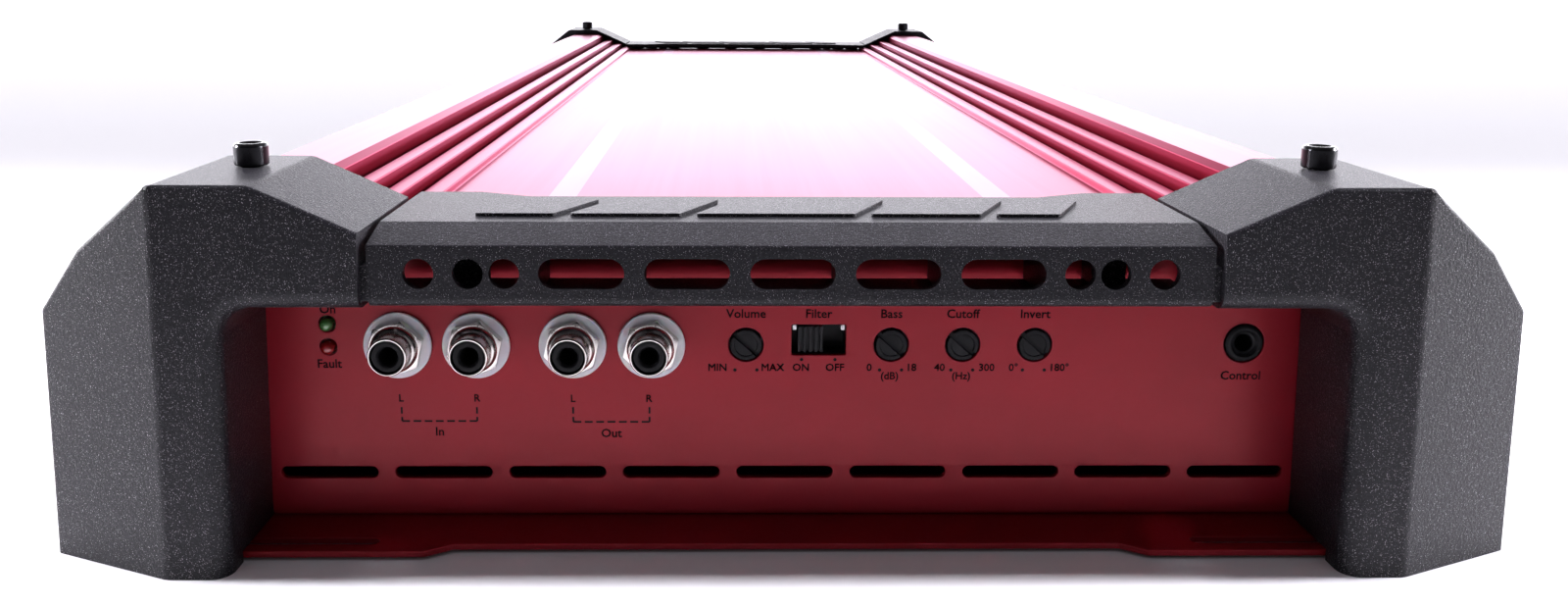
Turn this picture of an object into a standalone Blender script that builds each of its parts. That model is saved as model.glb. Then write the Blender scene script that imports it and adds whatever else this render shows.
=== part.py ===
"""Car audio power amplifier on a wide finned heatsink, with moulded end caps at both ends.

Metres, +Z up. X runs across the amplifier, Y along it and the control end faces -Y. The origin is
on the surface it stands on, under the middle of the case.
"""

import math

import bmesh
import bpy
from mathutils import Matrix, Vector

MM = 0.001
ROUND_STEPS = 16

# Case. "Depth" is measured inwards from a panel's outer face, at either end of the case.
LENGTH = 696 * MM
CAP_FRONT = 26.3 * MM  # the caps' faces stand this far outside the panels
PANEL_Y = LENGTH / 2 - CAP_FRONT
GAP = 0.3 * MM

# Corner blocks: section across the case, then depths.
TOP_Z = 80.7 * MM
TOP_IN_X = 104.2 * MM
TOP_OUT_X = 123.3 * MM
SLOPE_X = 141.1 * MM
SLOPE_Z = 66.4 * MM
SIDE_X = 151.4 * MM
SIDE_Z = 53 * MM
SEAM_X = 83.6 * MM
SEAM_Z = 71.5 * MM
ARCH_Z = 56 * MM
ARCH_RADIUS = 6 * MM
LEG_X = 110.8 * MM
CHAMFER_DEPTH = 12.6 * MM
CAP_BACK = 14.2 * MM
ROUND_OVER = 4 * MM
EDGE_ROUND = 0.9 * MM
DRAFT = 2.6 * MM  # the legs stand this much wider at the floor than at the top

# Heatsink section.
FLAT_Z = 67.6 * MM
FLAT_X = 80.2 * MM
FINS_MM = (  # inner side, outer side, far side of the groove beside it, top
    (80.6, 85.4, 87, 69.2),
    (87, 91.4, 93, 71.4),
    (93.2, 97.5, 100.3, 73.8),
)
GROOVE_Z = 62.5 * MM
SHOULDER_Z = 77.7 * MM
SHOULDER_IN_X = 100.3 * MM
SHOULDER_LIP = (2 * MM, 1.2 * MM)
SHOULDER_OUT_X = 119 * MM
SINK_SLOPE_X = 136.8 * MM
SINK_SLOPE_Z = 63.4 * MM
SINK_SIDE_X = 146.6 * MM
SINK_SIDE_Z = 50.4 * MM
SINK_WALL = 3 * MM
PARTITION_X = 112.5 * MM
CEILING_Z = 62 * MM
CEILING_LOW_Z = 57 * MM
SINK_DEPTH = 2.2 * MM
TONGUE_DEPTH = -8 * MM
TONGUE_X = 103 * MM
TONGUE_Z = 62.4 * MM

# Bridge between the corner blocks.
BRIDGE_X = 82.6 * MM
BRIDGE_FACE = -25 * MM
BRIDGE_BEVEL = -14 * MM
BRIDGE_BEVEL_Z = 68.9 * MM
BRIDGE_Z = 71.5 * MM
BRIDGE_LOW_Z = 56.5 * MM
BRIDGE_WALL = 2 * MM
BRIDGE_BACK = 15.4 * MM
BRIDGE_BACK_END = 21.6 * MM
BRIDGE_STEP_X = (57 * MM, 70 * MM)
VENT_Z = 63.3 * MM
VENT_D = 6 * MM
VENT_ROUND_X = (56.2 * MM, 63.2 * MM, 72.8 * MM)
VENT_SLOT = 16.7 * MM
VENT_PITCH = 20.6 * MM
TONGUE = (7 * MM, 8 * MM, 7 * MM)  # tongues that join the bridge to the blocks

# Sheet metal.
PLATE_Z = 0.8 * MM
PLATE_T = 1.4 * MM
PLATE_EDGE = -14.6 * MM
EAR_EDGE = -18 * MM
EAR_X = (70.7 * MM, 75.9 * MM, 120 * MM)
PLATE_X = 145.5 * MM
EAR_SLOT_X = (86.5 * MM, 118 * MM)
EAR_SLOT_DEPTH = -13 * MM
EAR_SLOT_W = 3 * MM
PANEL_T = 1.6 * MM
PANEL_X = 113.4 * MM
PANEL_TOP_Z = 61.4 * MM
VENTS = 9
PANEL_SLOT = (21.3 * MM, 2.7 * MM)
PANEL_PITCH = 25.1 * MM
PANEL_SLOT_Z = 12.3 * MM

# Controls on the front panel.
ROW_Z = 41.6 * MM
RCA_X = {
    "input_left": -83.9 * MM,
    "input_right": -67 * MM,
    "output_left": -46.2 * MM,
    "output_right": -29.2 * MM,
}
RCA_REACH = 9.8 * MM
RCA_BARREL_D = 8.3 * MM
RCA_INSULATOR_D = 6.7 * MM
RCA_BORE_D = 3.9 * MM
RCA_HOLE_D = 9.2 * MM
RCA_WASHER_D = 14.6 * MM
RCA_NUT_D = 12.4 * MM
RCA_COLLAR_D = 10.2 * MM
RCA_COLLAR_DEPTHS = (-1.4 * MM, -4.2 * MM, -5.6 * MM)  # seat, shoulder, neck
RCA_DOME = 1.2 * MM
RCA_NUT_DEPTHS = (-3.8 * MM, -1.5 * MM)
RCA_WASHER_DEPTHS = (-1.2 * MM, -0.2 * MM)
RCA_RECESS = 0.5 * MM
RCA_BORE_END = 1 * MM
RCA_TAIL = 1 * MM  # the insulator stands out behind its shell
KNOB_X = {"level": -8.7 * MM, "bass_boost": 22.9 * MM, "low_pass": 38.5 * MM, "phase": 54.2 * MM}
KNOB_D = 6.9 * MM
KNOB_HOLE_D = 7.6 * MM
KNOB_TEETH = 18
KNOB_SLOT_ANGLE = -42
KNOB_SLOT = 1 * MM
KNOB_SLOT_DEPTH = 1.4 * MM
KNOB_DEPTHS = (-0.4 * MM, 4 * MM, 10 * MM)  # face, back of the rim, end of the shaft
KNOB_SHAFT_D = 4 * MM
POT_W, POT_H = 9.6 * MM, 10.4 * MM
SWITCH_X = 7.1 * MM
SWITCH_Z = 42.7 * MM
SWITCH_HOLE = (11.8 * MM, 6.8 * MM)
SWITCH_WALL = 1.5 * MM
SWITCH_FLOOR = 6 * MM
SLIDER = (5.4 * MM, 5.6 * MM)
SLIDER_RIBS = 5
SLIDER_DEPTHS = (0.3 * MM, 1.1 * MM)  # tops and roots of the ribs
SLIDER_REST_X = 5.3 * MM
LED_X = -99 * MM
LED_Z = {"power": 46.2 * MM, "protection": 41 * MM}
LED_D = 3 * MM
LED_HOLE_D = 3.7 * MM
LED_DEPTHS = (-0.6 * MM, 2.2 * MM, 8 * MM)  # start of the dome, flange, back
REMOTE_X = 100.1 * MM
REMOTE_Z = 42 * MM
REMOTE_D = 8.2 * MM
REMOTE_LIP = (0.6 * MM, 0.5 * MM)
REMOTE_DISH = (2.4 * MM, 0.4 * MM)
REMOTE_BORE = (1.9 * MM, 9 * MM)

# Terminals on the rear panel.
POWER_X = (-84 * MM, -64 * MM, -44 * MM)
POWER_Z = 27 * MM
POWER_SOCKET_D = 9 * MM
SPEAKER_X = (30 * MM, 46 * MM, 62 * MM, 78 * MM)
SPEAKER_Z = 28 * MM
SPEAKER_SOCKET_D = 6.4 * MM
TERMINAL_REACH = 9 * MM
TERMINAL_DEPTH = 16 * MM
TERMINAL_MARGINS = (3 * MM, 2.5 * MM, 9 * MM)  # beside, below and above the sockets
SOCKET_FLOOR = 4 * MM
CLAMP_RISE = 4.5 * MM
CLAMP_HEAD_D = 5 * MM
CLAMP_HEAD_H = 1.7 * MM
CLAMP_EDGE = 0.5 * MM
CLAMP_SHANK_D = 3 * MM
CLAMP_LENGTH = 9 * MM
CLAMP_RECESS = 1.5 * MM
CLAMP_SLOT = (3.4 * MM, 0.7 * MM, 0.9 * MM)

# Corner screws.
SCREW_X = 112.1 * MM
SCREW_DEPTH = -1.3 * MM
SCREW_HEAD = (7.3 * MM, 5 * MM)
SCREW_SHANK = (4 * MM, 15 * MM)
SCREW_HOLE_D = 4.8 * MM
SCREW_EDGE = 0.6 * MM
SCREW_SOCKET = (3.6 * MM, 2.6 * MM)

# Boards and the parts on them.
BOARD_Z = 12 * MM
BOARD_T = 1.6 * MM
BOARD_X = 103 * MM
BOARD_Y = 296 * MM
CONTROL_DEPTH = 14 * MM
CONTROL_BOARD = ((-106 * MM, 31 * MM), (108 * MM, 54 * MM))
STUD_D = 6 * MM
STUD_INSET = (8 * MM, 10 * MM)
TOROID = (23 * MM, 11 * MM)  # radius to the middle of the core, and the core's radius
TOROID_Y = {"front": -150 * MM, "middle": -60 * MM}
COIL = (6 * MM, 15 * MM, 9 * MM, 18 * MM, 3 * MM)  # bore, flange, winding, height, flange edge
COIL_Y = 190 * MM
CAPACITOR = (15 * MM, 35.2 * MM, 0.6 * MM)
CAPACITOR_Y = {"front": 30 * MM, "rear": 90 * MM}
TRANSISTOR = (5 * MM, 22 * MM, 22 * MM)
CLAMP_BAR = (4 * MM, 360 * MM, 12 * MM)
CLAMP_BAR_RISE = 6 * MM

FRONT, REAR = -1, 1
LEFT, RIGHT = -1, 1


def clear_scene():
    for obj in list(bpy.data.objects):
        bpy.data.objects.remove(obj, do_unlink=True)


def collection(name):
    made = bpy.data.collections.new(name)
    bpy.context.scene.collection.children.link(made)
    return made


def material(name, colour, roughness, metallic=0.0):
    made = bpy.data.materials.new(name)
    made.use_nodes = True
    shader = made.node_tree.nodes["Principled BSDF"]
    shader.inputs["Base Color"].default_value = (*colour, 1)
    shader.inputs["Roughness"].default_value = roughness
    shader.inputs["Metallic"].default_value = metallic
    return made


def at_end(end, depth):
    """The Y of a plane at this depth behind a panel's outer face."""
    return end * (PANEL_Y - depth)


# ---- mesh helpers ----


def arc(centre, radius, start, stop, steps):
    """Points along an arc, its angles in degrees."""
    found = []
    for step in range(steps + 1):
        angle = math.radians(start + (stop - start) * step / steps)
        found.append((centre[0] + radius * math.cos(angle), centre[1] + radius * math.sin(angle)))
    return found


def circle(centre, diameter, steps=ROUND_STEPS):
    return arc(centre, diameter / 2, 0, 360 * (steps - 1) / steps, steps - 1)


def rectangle(low, high):
    return [(low[0], low[1]), (high[0], low[1]), (high[0], high[1]), (low[0], high[1])]


def slot(centre, length, width, steps=4):
    """A round-ended slot lying along the first axis."""
    reach = (length - width) / 2
    right = arc((centre[0] + reach, centre[1]), width / 2, -90, 90, steps)
    return right + arc((centre[0] - reach, centre[1]), width / 2, 90, 270, steps)


def mirrored(half):
    """A closed outline from its half with positive first coordinates."""
    return half + [(-x, y) for x, y in reversed(half)]


def outline_mesh(outlines, thickness):
    """A flat plate from a filled outline and the outlines of its holes, in the XY plane."""
    curve = bpy.data.curves.new("outline", "CURVE")
    curve.dimensions = "2D"
    curve.fill_mode = "BOTH"
    curve.extrude = thickness / 2
    for points in outlines:
        spline = curve.splines.new("POLY")
        spline.points.add(len(points) - 1)
        spline.use_cyclic_u = True
        for point, place in zip(spline.points, points):
            point.co = (*place, 0, 1)
    holder = bpy.data.objects.new("outline", curve)
    bpy.context.scene.collection.objects.link(holder)
    graph = bpy.context.evaluated_depsgraph_get()
    mesh = bpy.data.meshes.new_from_object(holder.evaluated_get(graph))
    bpy.data.objects.remove(holder)
    bpy.data.curves.remove(curve)
    shape = bmesh.new()
    shape.from_mesh(mesh)
    bmesh.ops.remove_doubles(shape, verts=shape.verts, dist=1e-6)
    if len(outlines) == 1:
        bmesh.ops.dissolve_limit(shape, angle_limit=1e-4, verts=shape.verts, edges=shape.edges)
    bmesh.ops.recalc_face_normals(shape, faces=shape.faces)
    shape.to_mesh(mesh)
    shape.free()
    return mesh


def across(outlines, low_y, high_y):
    """A prism along Y from outlines in the XZ plane."""
    mesh = outline_mesh(outlines, high_y - low_y)
    mesh.transform(Matrix.Rotation(math.radians(90), 4, "X"))
    mesh.transform(Matrix.Translation((0, (low_y + high_y) / 2, 0)))
    return mesh


def upright(outlines, low_z, high_z):
    """A prism along Z from outlines in the XY plane."""
    mesh = outline_mesh(outlines, high_z - low_z)
    mesh.transform(Matrix.Translation((0, 0, (low_z + high_z) / 2)))
    return mesh


def box_mesh(low, high):
    size = Vector(high) - Vector(low)
    middle = (Vector(high) + Vector(low)) / 2
    shape = bmesh.new()
    bmesh.ops.create_cube(shape, size=1)
    bmesh.ops.scale(shape, vec=size, verts=shape.verts)
    bmesh.ops.translate(shape, vec=middle, verts=shape.verts)
    mesh = bpy.data.meshes.new("box")
    shape.to_mesh(mesh)
    shape.free()
    return mesh


def turned(profile, steps=ROUND_STEPS):
    """A turned mesh round the Y axis; the profile holds (radius, y) from one end to the other."""
    shape = bmesh.new()
    line = [shape.verts.new((radius, y, 0)) for radius, y in profile]
    edges = [shape.edges.new(pair) for pair in zip(line, line[1:])]
    bmesh.ops.spin(
        shape,
        geom=line + edges,
        cent=(0, 0, 0),
        axis=(0, 1, 0),
        angle=math.tau,
        steps=steps,
        use_merge=True,
    )
    bmesh.ops.remove_doubles(shape, verts=shape.verts, dist=1e-6)
    bmesh.ops.recalc_face_normals(shape, faces=shape.faces)
    mesh = bpy.data.meshes.new("turned")
    shape.to_mesh(mesh)
    shape.free()
    return mesh


def reflected(mesh, axis):
    """A mirror image of a mesh across the plane through the origin."""
    made = mesh.copy()
    made.transform(Matrix.Scale(-1, 4, axis))
    made.flip_normals()
    return made


def add(parts, name, mesh, finish, place=(0, 0, 0)):
    mesh.name = name
    obj = bpy.data.objects.new(name, mesh)
    obj.location = place
    obj.data.materials.clear()
    obj.data.materials.append(finish)
    parts.objects.link(obj)
    return obj


def joined(obj, cutters, mesh, operation):
    """Cuts or joins another mesh, held by a hidden helper, with a Boolean modifier."""
    helper = bpy.data.objects.new(f"{obj.name}_{operation.lower()}", mesh)
    helper.matrix_world = obj.matrix_world
    helper.location = obj.location
    helper.hide_render = True
    helper.display_type = "WIRE"
    cutters.objects.link(helper)
    modifier = obj.modifiers.new(operation.title(), "BOOLEAN")
    modifier.operation = operation
    modifier.solver = "EXACT"
    modifier.object = helper


def smooth(obj, degrees=35):
    obj.data.shade_smooth()
    obj.data.set_sharp_from_angle(angle=math.radians(degrees))


def bevel_edges(shape, chosen, width, segments):
    bmesh.ops.bevel(
        shape,
        geom=chosen,
        offset=width,
        segments=segments,
        profile=0.5,
        affect="EDGES",
        clamp_overlap=True,
    )


# ---- heatsink ----


def fin_outline():
    """The top of the section from the middle flat up to the shoulder."""
    found = [(0, FLAT_Z), (FLAT_X, FLAT_Z)]
    for inner, outer, far, top in FINS_MM:
        found += [(inner * MM, top * MM), (outer * MM, top * MM)]
        found += [(outer * MM, GROOVE_Z), (far * MM, GROOVE_Z)]
    run, rise = SHOULDER_LIP
    return found + [(SHOULDER_IN_X, SHOULDER_Z - rise), (SHOULDER_IN_X + run, SHOULDER_Z)]


def sink_hull(grow=0.0):
    """The outside of the section from the shoulder down to the plate, grown for a pocket."""
    return [
        (SHOULDER_OUT_X + grow / 2, SHOULDER_Z + grow),
        (SINK_SLOPE_X + grow, SINK_SLOPE_Z + grow / 2),
        (SINK_SIDE_X + grow, SINK_SIDE_Z),
    ]


def sink_outline():
    floor = PLATE_Z + PLATE_T + GAP
    wall = SINK_WALL
    outside = [(SINK_SIDE_X, floor), (SINK_SIDE_X - wall, floor)]
    channel = [
        (SINK_SIDE_X - wall, SINK_SIDE_Z - wall / 2),
        (SINK_SLOPE_X - wall, SINK_SLOPE_Z - wall / 2),
        (SHOULDER_OUT_X - wall / 2, SHOULDER_Z - 2 * wall),
        (PARTITION_X + wall, SHOULDER_Z - 2 * wall),
        (PARTITION_X + wall, floor),
    ]
    inside = [
        (PARTITION_X, floor),
        (PARTITION_X, CEILING_LOW_Z),
        (FLAT_X - wall, CEILING_LOW_Z),
        (FLAT_X - 2 * wall, CEILING_Z),
        (0, CEILING_Z),
    ]
    return mirrored((fin_outline() + sink_hull() + outside + channel + inside)[1:-1])


def screw_holes(low_z, high_z):
    """Upright cylinders where the four corner screws go."""
    shape = bmesh.new()
    for side in (LEFT, RIGHT):
        for end in (FRONT, REAR):
            made = bmesh.ops.create_cone(
                shape,
                cap_ends=True,
                segments=ROUND_STEPS,
                radius1=SCREW_HOLE_D / 2,
                radius2=SCREW_HOLE_D / 2,
                depth=high_z - low_z,
            )
            place = (side * SCREW_X, at_end(end, SCREW_DEPTH), (low_z + high_z) / 2)
            bmesh.ops.translate(shape, vec=place, verts=made["verts"])
    mesh = bpy.data.meshes.new("screw_holes")
    shape.to_mesh(mesh)
    shape.free()
    return mesh


def add_heatsink(parts, cutters, finish):
    """The extrusion, milled back at both ends except for the tongues that the screws hold."""
    reach = PANEL_Y - TONGUE_DEPTH
    obj = add(parts, "heatsink", across([sink_outline()], -reach, reach), finish)
    far = reach + 1 * MM
    near = PANEL_Y - SINK_DEPTH
    milled = [
        (TONGUE_X, TOP_Z),
        (TONGUE_X, TONGUE_Z),
        (SHOULDER_OUT_X, TONGUE_Z),
        (SHOULDER_OUT_X, TOP_Z),
        (SIDE_X, TOP_Z),
        (SIDE_X, -1 * MM),
    ]
    for end in (FRONT, REAR):
        low, high = sorted((end * near, end * far))
        joined(obj, cutters, across([mirrored(milled)], low, high), "DIFFERENCE")
    joined(obj, cutters, screw_holes(TONGUE_Z - 1 * MM, TOP_Z), "DIFFERENCE")


# ---- corner blocks ----


def block_outline():
    corner = arc((LEG_X - ARCH_RADIUS, ARCH_Z - ARCH_RADIUS), ARCH_RADIUS, 90, 0, 4)
    return corner + [
        (LEG_X, 0),
        (SIDE_X, 0),
        (SIDE_X, SIDE_Z),
        (SLOPE_X, SLOPE_Z),
        (TOP_OUT_X, TOP_Z),
        (TOP_IN_X, TOP_Z),
        (SEAM_X, SEAM_Z),
        (SEAM_X, ARCH_Z),
    ]


def block_body():
    """The rear right block's outer form, its face at y = CAP_FRONT and the panel at y = 0."""
    mesh = across([block_outline()], -CAP_BACK, CAP_FRONT)
    shape = bmesh.new()
    shape.from_mesh(mesh)
    run = Vector((SIDE_X - TOP_OUT_X, -CHAMFER_DEPTH, 0))
    cut = bmesh.ops.bisect_plane(
        shape,
        geom=shape.verts[:] + shape.edges[:] + shape.faces[:],
        plane_co=(TOP_OUT_X, CAP_FRONT, 0),
        plane_no=Vector((-run.y, run.x, 0)).normalized(),
        clear_outer=True,
    )
    rim = [edge for edge in cut["geom_cut"] if isinstance(edge, bmesh.types.BMEdge)]
    bmesh.ops.holes_fill(shape, edges=rim)
    bmesh.ops.recalc_face_normals(shape, faces=shape.faces)
    arch, outer = [], []
    for edge in shape.edges:
        points = [vert.co for vert in edge.verts]
        if len(edge.link_faces) != 2 or edge.calc_face_angle_signed(0) < math.radians(15):
            continue
        in_arch = all(p.x < LEG_X + 1e-5 and p.z < ARCH_Z + 1e-5 for p in points)
        on_face = all(p.y > CAP_FRONT - 1e-5 for p in points)
        at_back = all(p.y < 1e-5 - CAP_BACK for p in points)
        at_seam = all(p.x < SEAM_X + 1e-5 for p in points)
        on_floor = all(p.z < 1e-5 for p in points)
        if in_arch and on_face and not at_seam and not on_floor:
            arch.append(edge)
        elif not (in_arch or at_back or at_seam or on_floor):
            outer.append(edge)
    bevel_edges(shape, outer, EDGE_ROUND, 1)
    arch = [edge for edge in arch if edge.is_valid]
    bevel_edges(shape, arch, ROUND_OVER, 3)
    for vert in shape.verts:
        vert.co.x += DRAFT * (1 - vert.co.z / TOP_Z)
        vert.co.y = min(vert.co.y, CAP_FRONT)
    shape.to_mesh(mesh)
    shape.free()
    return mesh


def block_pockets():
    """What the heatsink, the panel, the plate and the bridge's tongue take from a block."""
    clear = 0.5 * MM
    roof = [
        (SEAM_X - 1 * MM, SEAM_Z - 1.4 * MM),
        (SHOULDER_IN_X + 1 * MM, SHOULDER_Z + clear),
        (SHOULDER_OUT_X, SHOULDER_Z + clear),
    ]
    hull = roof + sink_hull(clear)[1:] + [(SINK_SIDE_X + clear, -1 * MM), (SEAM_X - 1 * MM, -1 * MM)]
    yield across([hull], -CAP_BACK - 1 * MM, GAP - SINK_DEPTH)
    yield box_mesh(
        (TONGUE_X - clear, -SINK_DEPTH, TONGUE_Z - clear),
        (SHOULDER_OUT_X + 2 * MM, clear - TONGUE_DEPTH, SHOULDER_Z + clear),
    )
    yield box_mesh(
        (SEAM_X - 1 * MM, -SINK_DEPTH, -1 * MM),
        (PANEL_X + GAP, GAP, PANEL_TOP_Z + GAP),
    )
    yield box_mesh(
        (LEG_X - 1 * MM, -CAP_BACK - 1 * MM, -1 * MM),
        (EAR_X[2] + GAP, GAP - EAR_EDGE, PLATE_Z + PLATE_T + GAP),
    )
    width, depth, height = TONGUE
    centre = bridge_tongue_centre()
    yield box_mesh(
        (SEAM_X - 1 * MM, centre[0] - depth / 2 - GAP, centre[1] - height / 2 - GAP),
        (SEAM_X + width, centre[0] + depth / 2 + GAP, centre[1] + height / 2 + GAP),
    )


def add_corner_blocks(parts, cutters, finish):
    body = block_body()
    holes = screw_holes(SHOULDER_Z, TOP_Z + 1 * MM)
    for end, end_name in ((FRONT, "front"), (REAR, "rear")):
        for side, side_name in ((LEFT, "left"), (RIGHT, "right")):
            obj = add(parts, f"corner_block_{end_name}_{side_name}", body.copy(), finish)
            cuts = list(block_pockets())
            if side == LEFT:
                obj.data = reflected(obj.data, (1, 0, 0))
                cuts = [reflected(cut, (1, 0, 0)) for cut in cuts]
            if end == FRONT:
                obj.data = reflected(obj.data, (0, 1, 0))
                cuts = [reflected(cut, (0, 1, 0)) for cut in cuts]
            shift = Matrix.Translation((0, end * PANEL_Y, 0))
            obj.data.transform(shift)
            for cut in cuts:
                cut.transform(shift)
                joined(obj, cutters, cut, "DIFFERENCE")
            joined(obj, cutters, holes.copy(), "DIFFERENCE")
            smooth(obj)


# ---- bridges ----


def bridge_tongue_centre():
    """(y, z) of the tongues' middle, outwards from the panel."""
    wall = -BRIDGE_FACE - BRIDGE_WALL
    return (wall + 1 * MM - TONGUE[1] / 2, BRIDGE_LOW_Z + TONGUE[2] / 2 + 1 * MM)


def bridge_section():
    """The shell's section as (y outwards, z): a face wall and a top wall, open below and behind."""
    face = -BRIDGE_FACE
    corner = arc((face - ROUND_OVER / 2, BRIDGE_LOW_Z + ROUND_OVER / 2), ROUND_OVER / 2, -90, 0, 3)
    inner_face = face - BRIDGE_WALL
    inner_top = BRIDGE_Z - BRIDGE_WALL
    return corner + [
        (face, BRIDGE_BEVEL_Z),
        (-BRIDGE_BEVEL, BRIDGE_Z),
        (-BRIDGE_BACK_END, BRIDGE_Z),
        (-BRIDGE_BACK_END, inner_top),
        (inner_face - 3 * MM, inner_top),
        (inner_face, BRIDGE_BEVEL_Z - BRIDGE_WALL),
        (inner_face, BRIDGE_LOW_Z),
    ]


def bridge_cuts():
    """The vents through the face, and what is left out of the middle of the back edge."""
    vents = [slot((VENT_PITCH * i, VENT_Z), VENT_SLOT, VENT_D) for i in range(-2, 3)]
    vents += [circle((s * x, VENT_Z), VENT_D, 12) for s in (LEFT, RIGHT) for x in VENT_ROUND_X]
    yield across(vents, -BRIDGE_FACE - 2 * BRIDGE_WALL, 1 * MM - BRIDGE_FACE)
    near, far = BRIDGE_STEP_X
    step = [(near, -BRIDGE_BACK), (far, -BRIDGE_BACK_END - 0.1 * MM), (far, -BRIDGE_BACK_END - 1 * MM)]
    yield upright([mirrored(step)], BRIDGE_LOW_Z, TOP_Z)


def add_bridges(parts, cutters, finish):
    """Moulded bars between the blocks, whose vents show the panel behind them."""
    section = outline_mesh([bridge_section()], 2 * BRIDGE_X)
    section.transform(Matrix.Rotation(math.radians(90), 4, "Z") @ Matrix.Rotation(math.radians(90), 4, "X"))
    centre = bridge_tongue_centre()
    _, depth, height = TONGUE
    reach = SEAM_X + TONGUE[0] - 2 * GAP
    low = (-reach, centre[0] - depth / 2, centre[1] - height / 2)
    high = (reach, centre[0] + depth / 2, centre[1] + height / 2)
    for end, end_name in ((FRONT, "front"), (REAR, "rear")):
        shape = section.copy()
        cuts = list(bridge_cuts())
        ends = []
        for side in (LEFT, RIGHT):
            inner, outer = sorted((side * (BRIDGE_X - 4 * MM), side * reach))
            ends.append(box_mesh((inner, low[1], low[2]), (outer, high[1], high[2])))
        if end == FRONT:
            shape = reflected(shape, (0, 1, 0))
            cuts = [reflected(cut, (0, 1, 0)) for cut in cuts]
            ends = [reflected(cut, (0, 1, 0)) for cut in ends]
        shift = Matrix.Translation((0, end * PANEL_Y, 0))
        shape.transform(shift)
        obj = add(parts, f"{end_name}_bridge", shape, finish)
        for cut in cuts:
            cut.transform(shift)
            joined(obj, cutters, cut, "DIFFERENCE")
        for tongue in ends:
            tongue.transform(shift)
            joined(obj, cutters, tongue, "UNION")


# ---- sheet metal ----


def plate_outline():
    edge = PANEL_Y - PLATE_EDGE
    ear = PANEL_Y - EAR_EDGE
    shelf = PANEL_Y - SINK_DEPTH - GAP
    quarter = [
        (EAR_X[0], edge),
        (EAR_X[1], ear),
        (EAR_X[2], ear),
        (EAR_X[2], shelf - PLATE_T),
        (PLATE_X, shelf),
    ]
    half = quarter + [(x, -y) for x, y in reversed(quarter)]
    return mirrored(half)


def add_bottom_plate(parts, cutters, finish):
    """The base sheet with its slotted mounting ears and the studs that hold the main board."""
    obj = add(parts, "bottom_plate", upright([plate_outline()], PLATE_Z, PLATE_Z + PLATE_T), finish)
    middle = sum(EAR_SLOT_X) / 2
    length = EAR_SLOT_X[1] - EAR_SLOT_X[0]
    slots = [
        slot((side * middle, at_end(end, EAR_SLOT_DEPTH)), length, EAR_SLOT_W)
        for end in (FRONT, REAR)
        for side in (LEFT, RIGHT)
    ]
    studs = [
        circle((x, y), STUD_D, 8)
        for x in (STUD_INSET[0] - BOARD_X, BOARD_X - STUD_INSET[0])
        for y in (STUD_INSET[1] - BOARD_Y, 0, BOARD_Y - STUD_INSET[1])
    ]
    joined(obj, cutters, upright(slots, 0, PLATE_Z + 2 * PLATE_T), "DIFFERENCE")
    joined(obj, cutters, upright(studs, PLATE_Z + PLATE_T / 2, BOARD_Z - GAP), "UNION")


def panel_vents():
    first = -(VENTS - 1) / 2
    return [
        slot(((first + i) * PANEL_PITCH, PANEL_SLOT_Z), *PANEL_SLOT, steps=3) for i in range(VENTS)
    ]


def panel_mesh(end, holes):
    floor = PLATE_Z + PLATE_T + GAP
    sheet = rectangle((-PANEL_X, floor), (PANEL_X, PANEL_TOP_Z))
    low, high = sorted((end * PANEL_Y, end * (PANEL_Y - PANEL_T)))
    return across([sheet] + panel_vents() + holes, low, high)


def add_front_panel(parts, finish):
    holes = [circle((x, ROW_Z), RCA_HOLE_D) for x in RCA_X.values()]
    holes += [circle((x, ROW_Z), KNOB_HOLE_D) for x in KNOB_X.values()]
    holes += [circle((LED_X, z), LED_HOLE_D, 14) for z in LED_Z.values()]
    holes.append(circle((REMOTE_X, REMOTE_Z), REMOTE_D + 2 * GAP))
    half = Vector(SWITCH_HOLE) / 2
    centre = Vector((SWITCH_X, SWITCH_Z))
    holes.append(rectangle(centre - half, centre + half))
    add(parts, "front_panel", panel_mesh(FRONT, holes), finish)


def terminal_limits(sockets, diameter, level):
    """The front outline of a terminal block round its sockets and the screws above them."""
    side, below, above = TERMINAL_MARGINS
    low = (sockets[0] - diameter / 2 - side, level - diameter / 2 - below)
    return low, (sockets[-1] + diameter / 2 + side, level + diameter / 2 + above)


def add_rear_panel(parts, finish):
    holes = []
    for low, high in (
        terminal_limits(POWER_X, POWER_SOCKET_D, POWER_Z),
        terminal_limits(SPEAKER_X, SPEAKER_SOCKET_D, SPEAKER_Z),
    ):
        holes.append(
            rectangle((low[0] - GAP, low[1] - GAP), (high[0] + GAP, high[1] + GAP))
        )
    add(parts, "rear_panel", panel_mesh(REAR, holes), finish)


# ---- fasteners ----


def add_corner_screws(parts, cutters, finish):
    head_d, head_h = SCREW_HEAD
    shank_d, shank_h = SCREW_SHANK
    edge = SCREW_EDGE
    profile = [
        (0, -shank_h),
        (shank_d / 2, -shank_h),
        (shank_d / 2, GAP),
        (head_d / 2, GAP),
        (head_d / 2, head_h - edge),
        (head_d / 2 - edge, head_h),
        (0, head_h),
    ]
    mesh = turned(profile)
    mesh.transform(Matrix.Rotation(math.radians(90), 4, "X"))
    across_corners, socket_depth = SCREW_SOCKET
    hexagon = circle((0, 0), across_corners, 6)
    socket = upright([hexagon], head_h - socket_depth, head_h + 1 * MM)
    for end, end_name in ((FRONT, "front"), (REAR, "rear")):
        for side, side_name in ((LEFT, "left"), (RIGHT, "right")):
            place = (side * SCREW_X, at_end(end, SCREW_DEPTH), TOP_Z)
            obj = add(parts, f"corner_screw_{end_name}_{side_name}", mesh.copy(), finish, place)
            joined(obj, cutters, socket.copy(), "DIFFERENCE")
            smooth(obj)


# ---- jacks and lamps ----


def ringed(profile):
    """A turned ring whose section is this closed profile."""
    return turned(profile + profile[:1])


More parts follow.
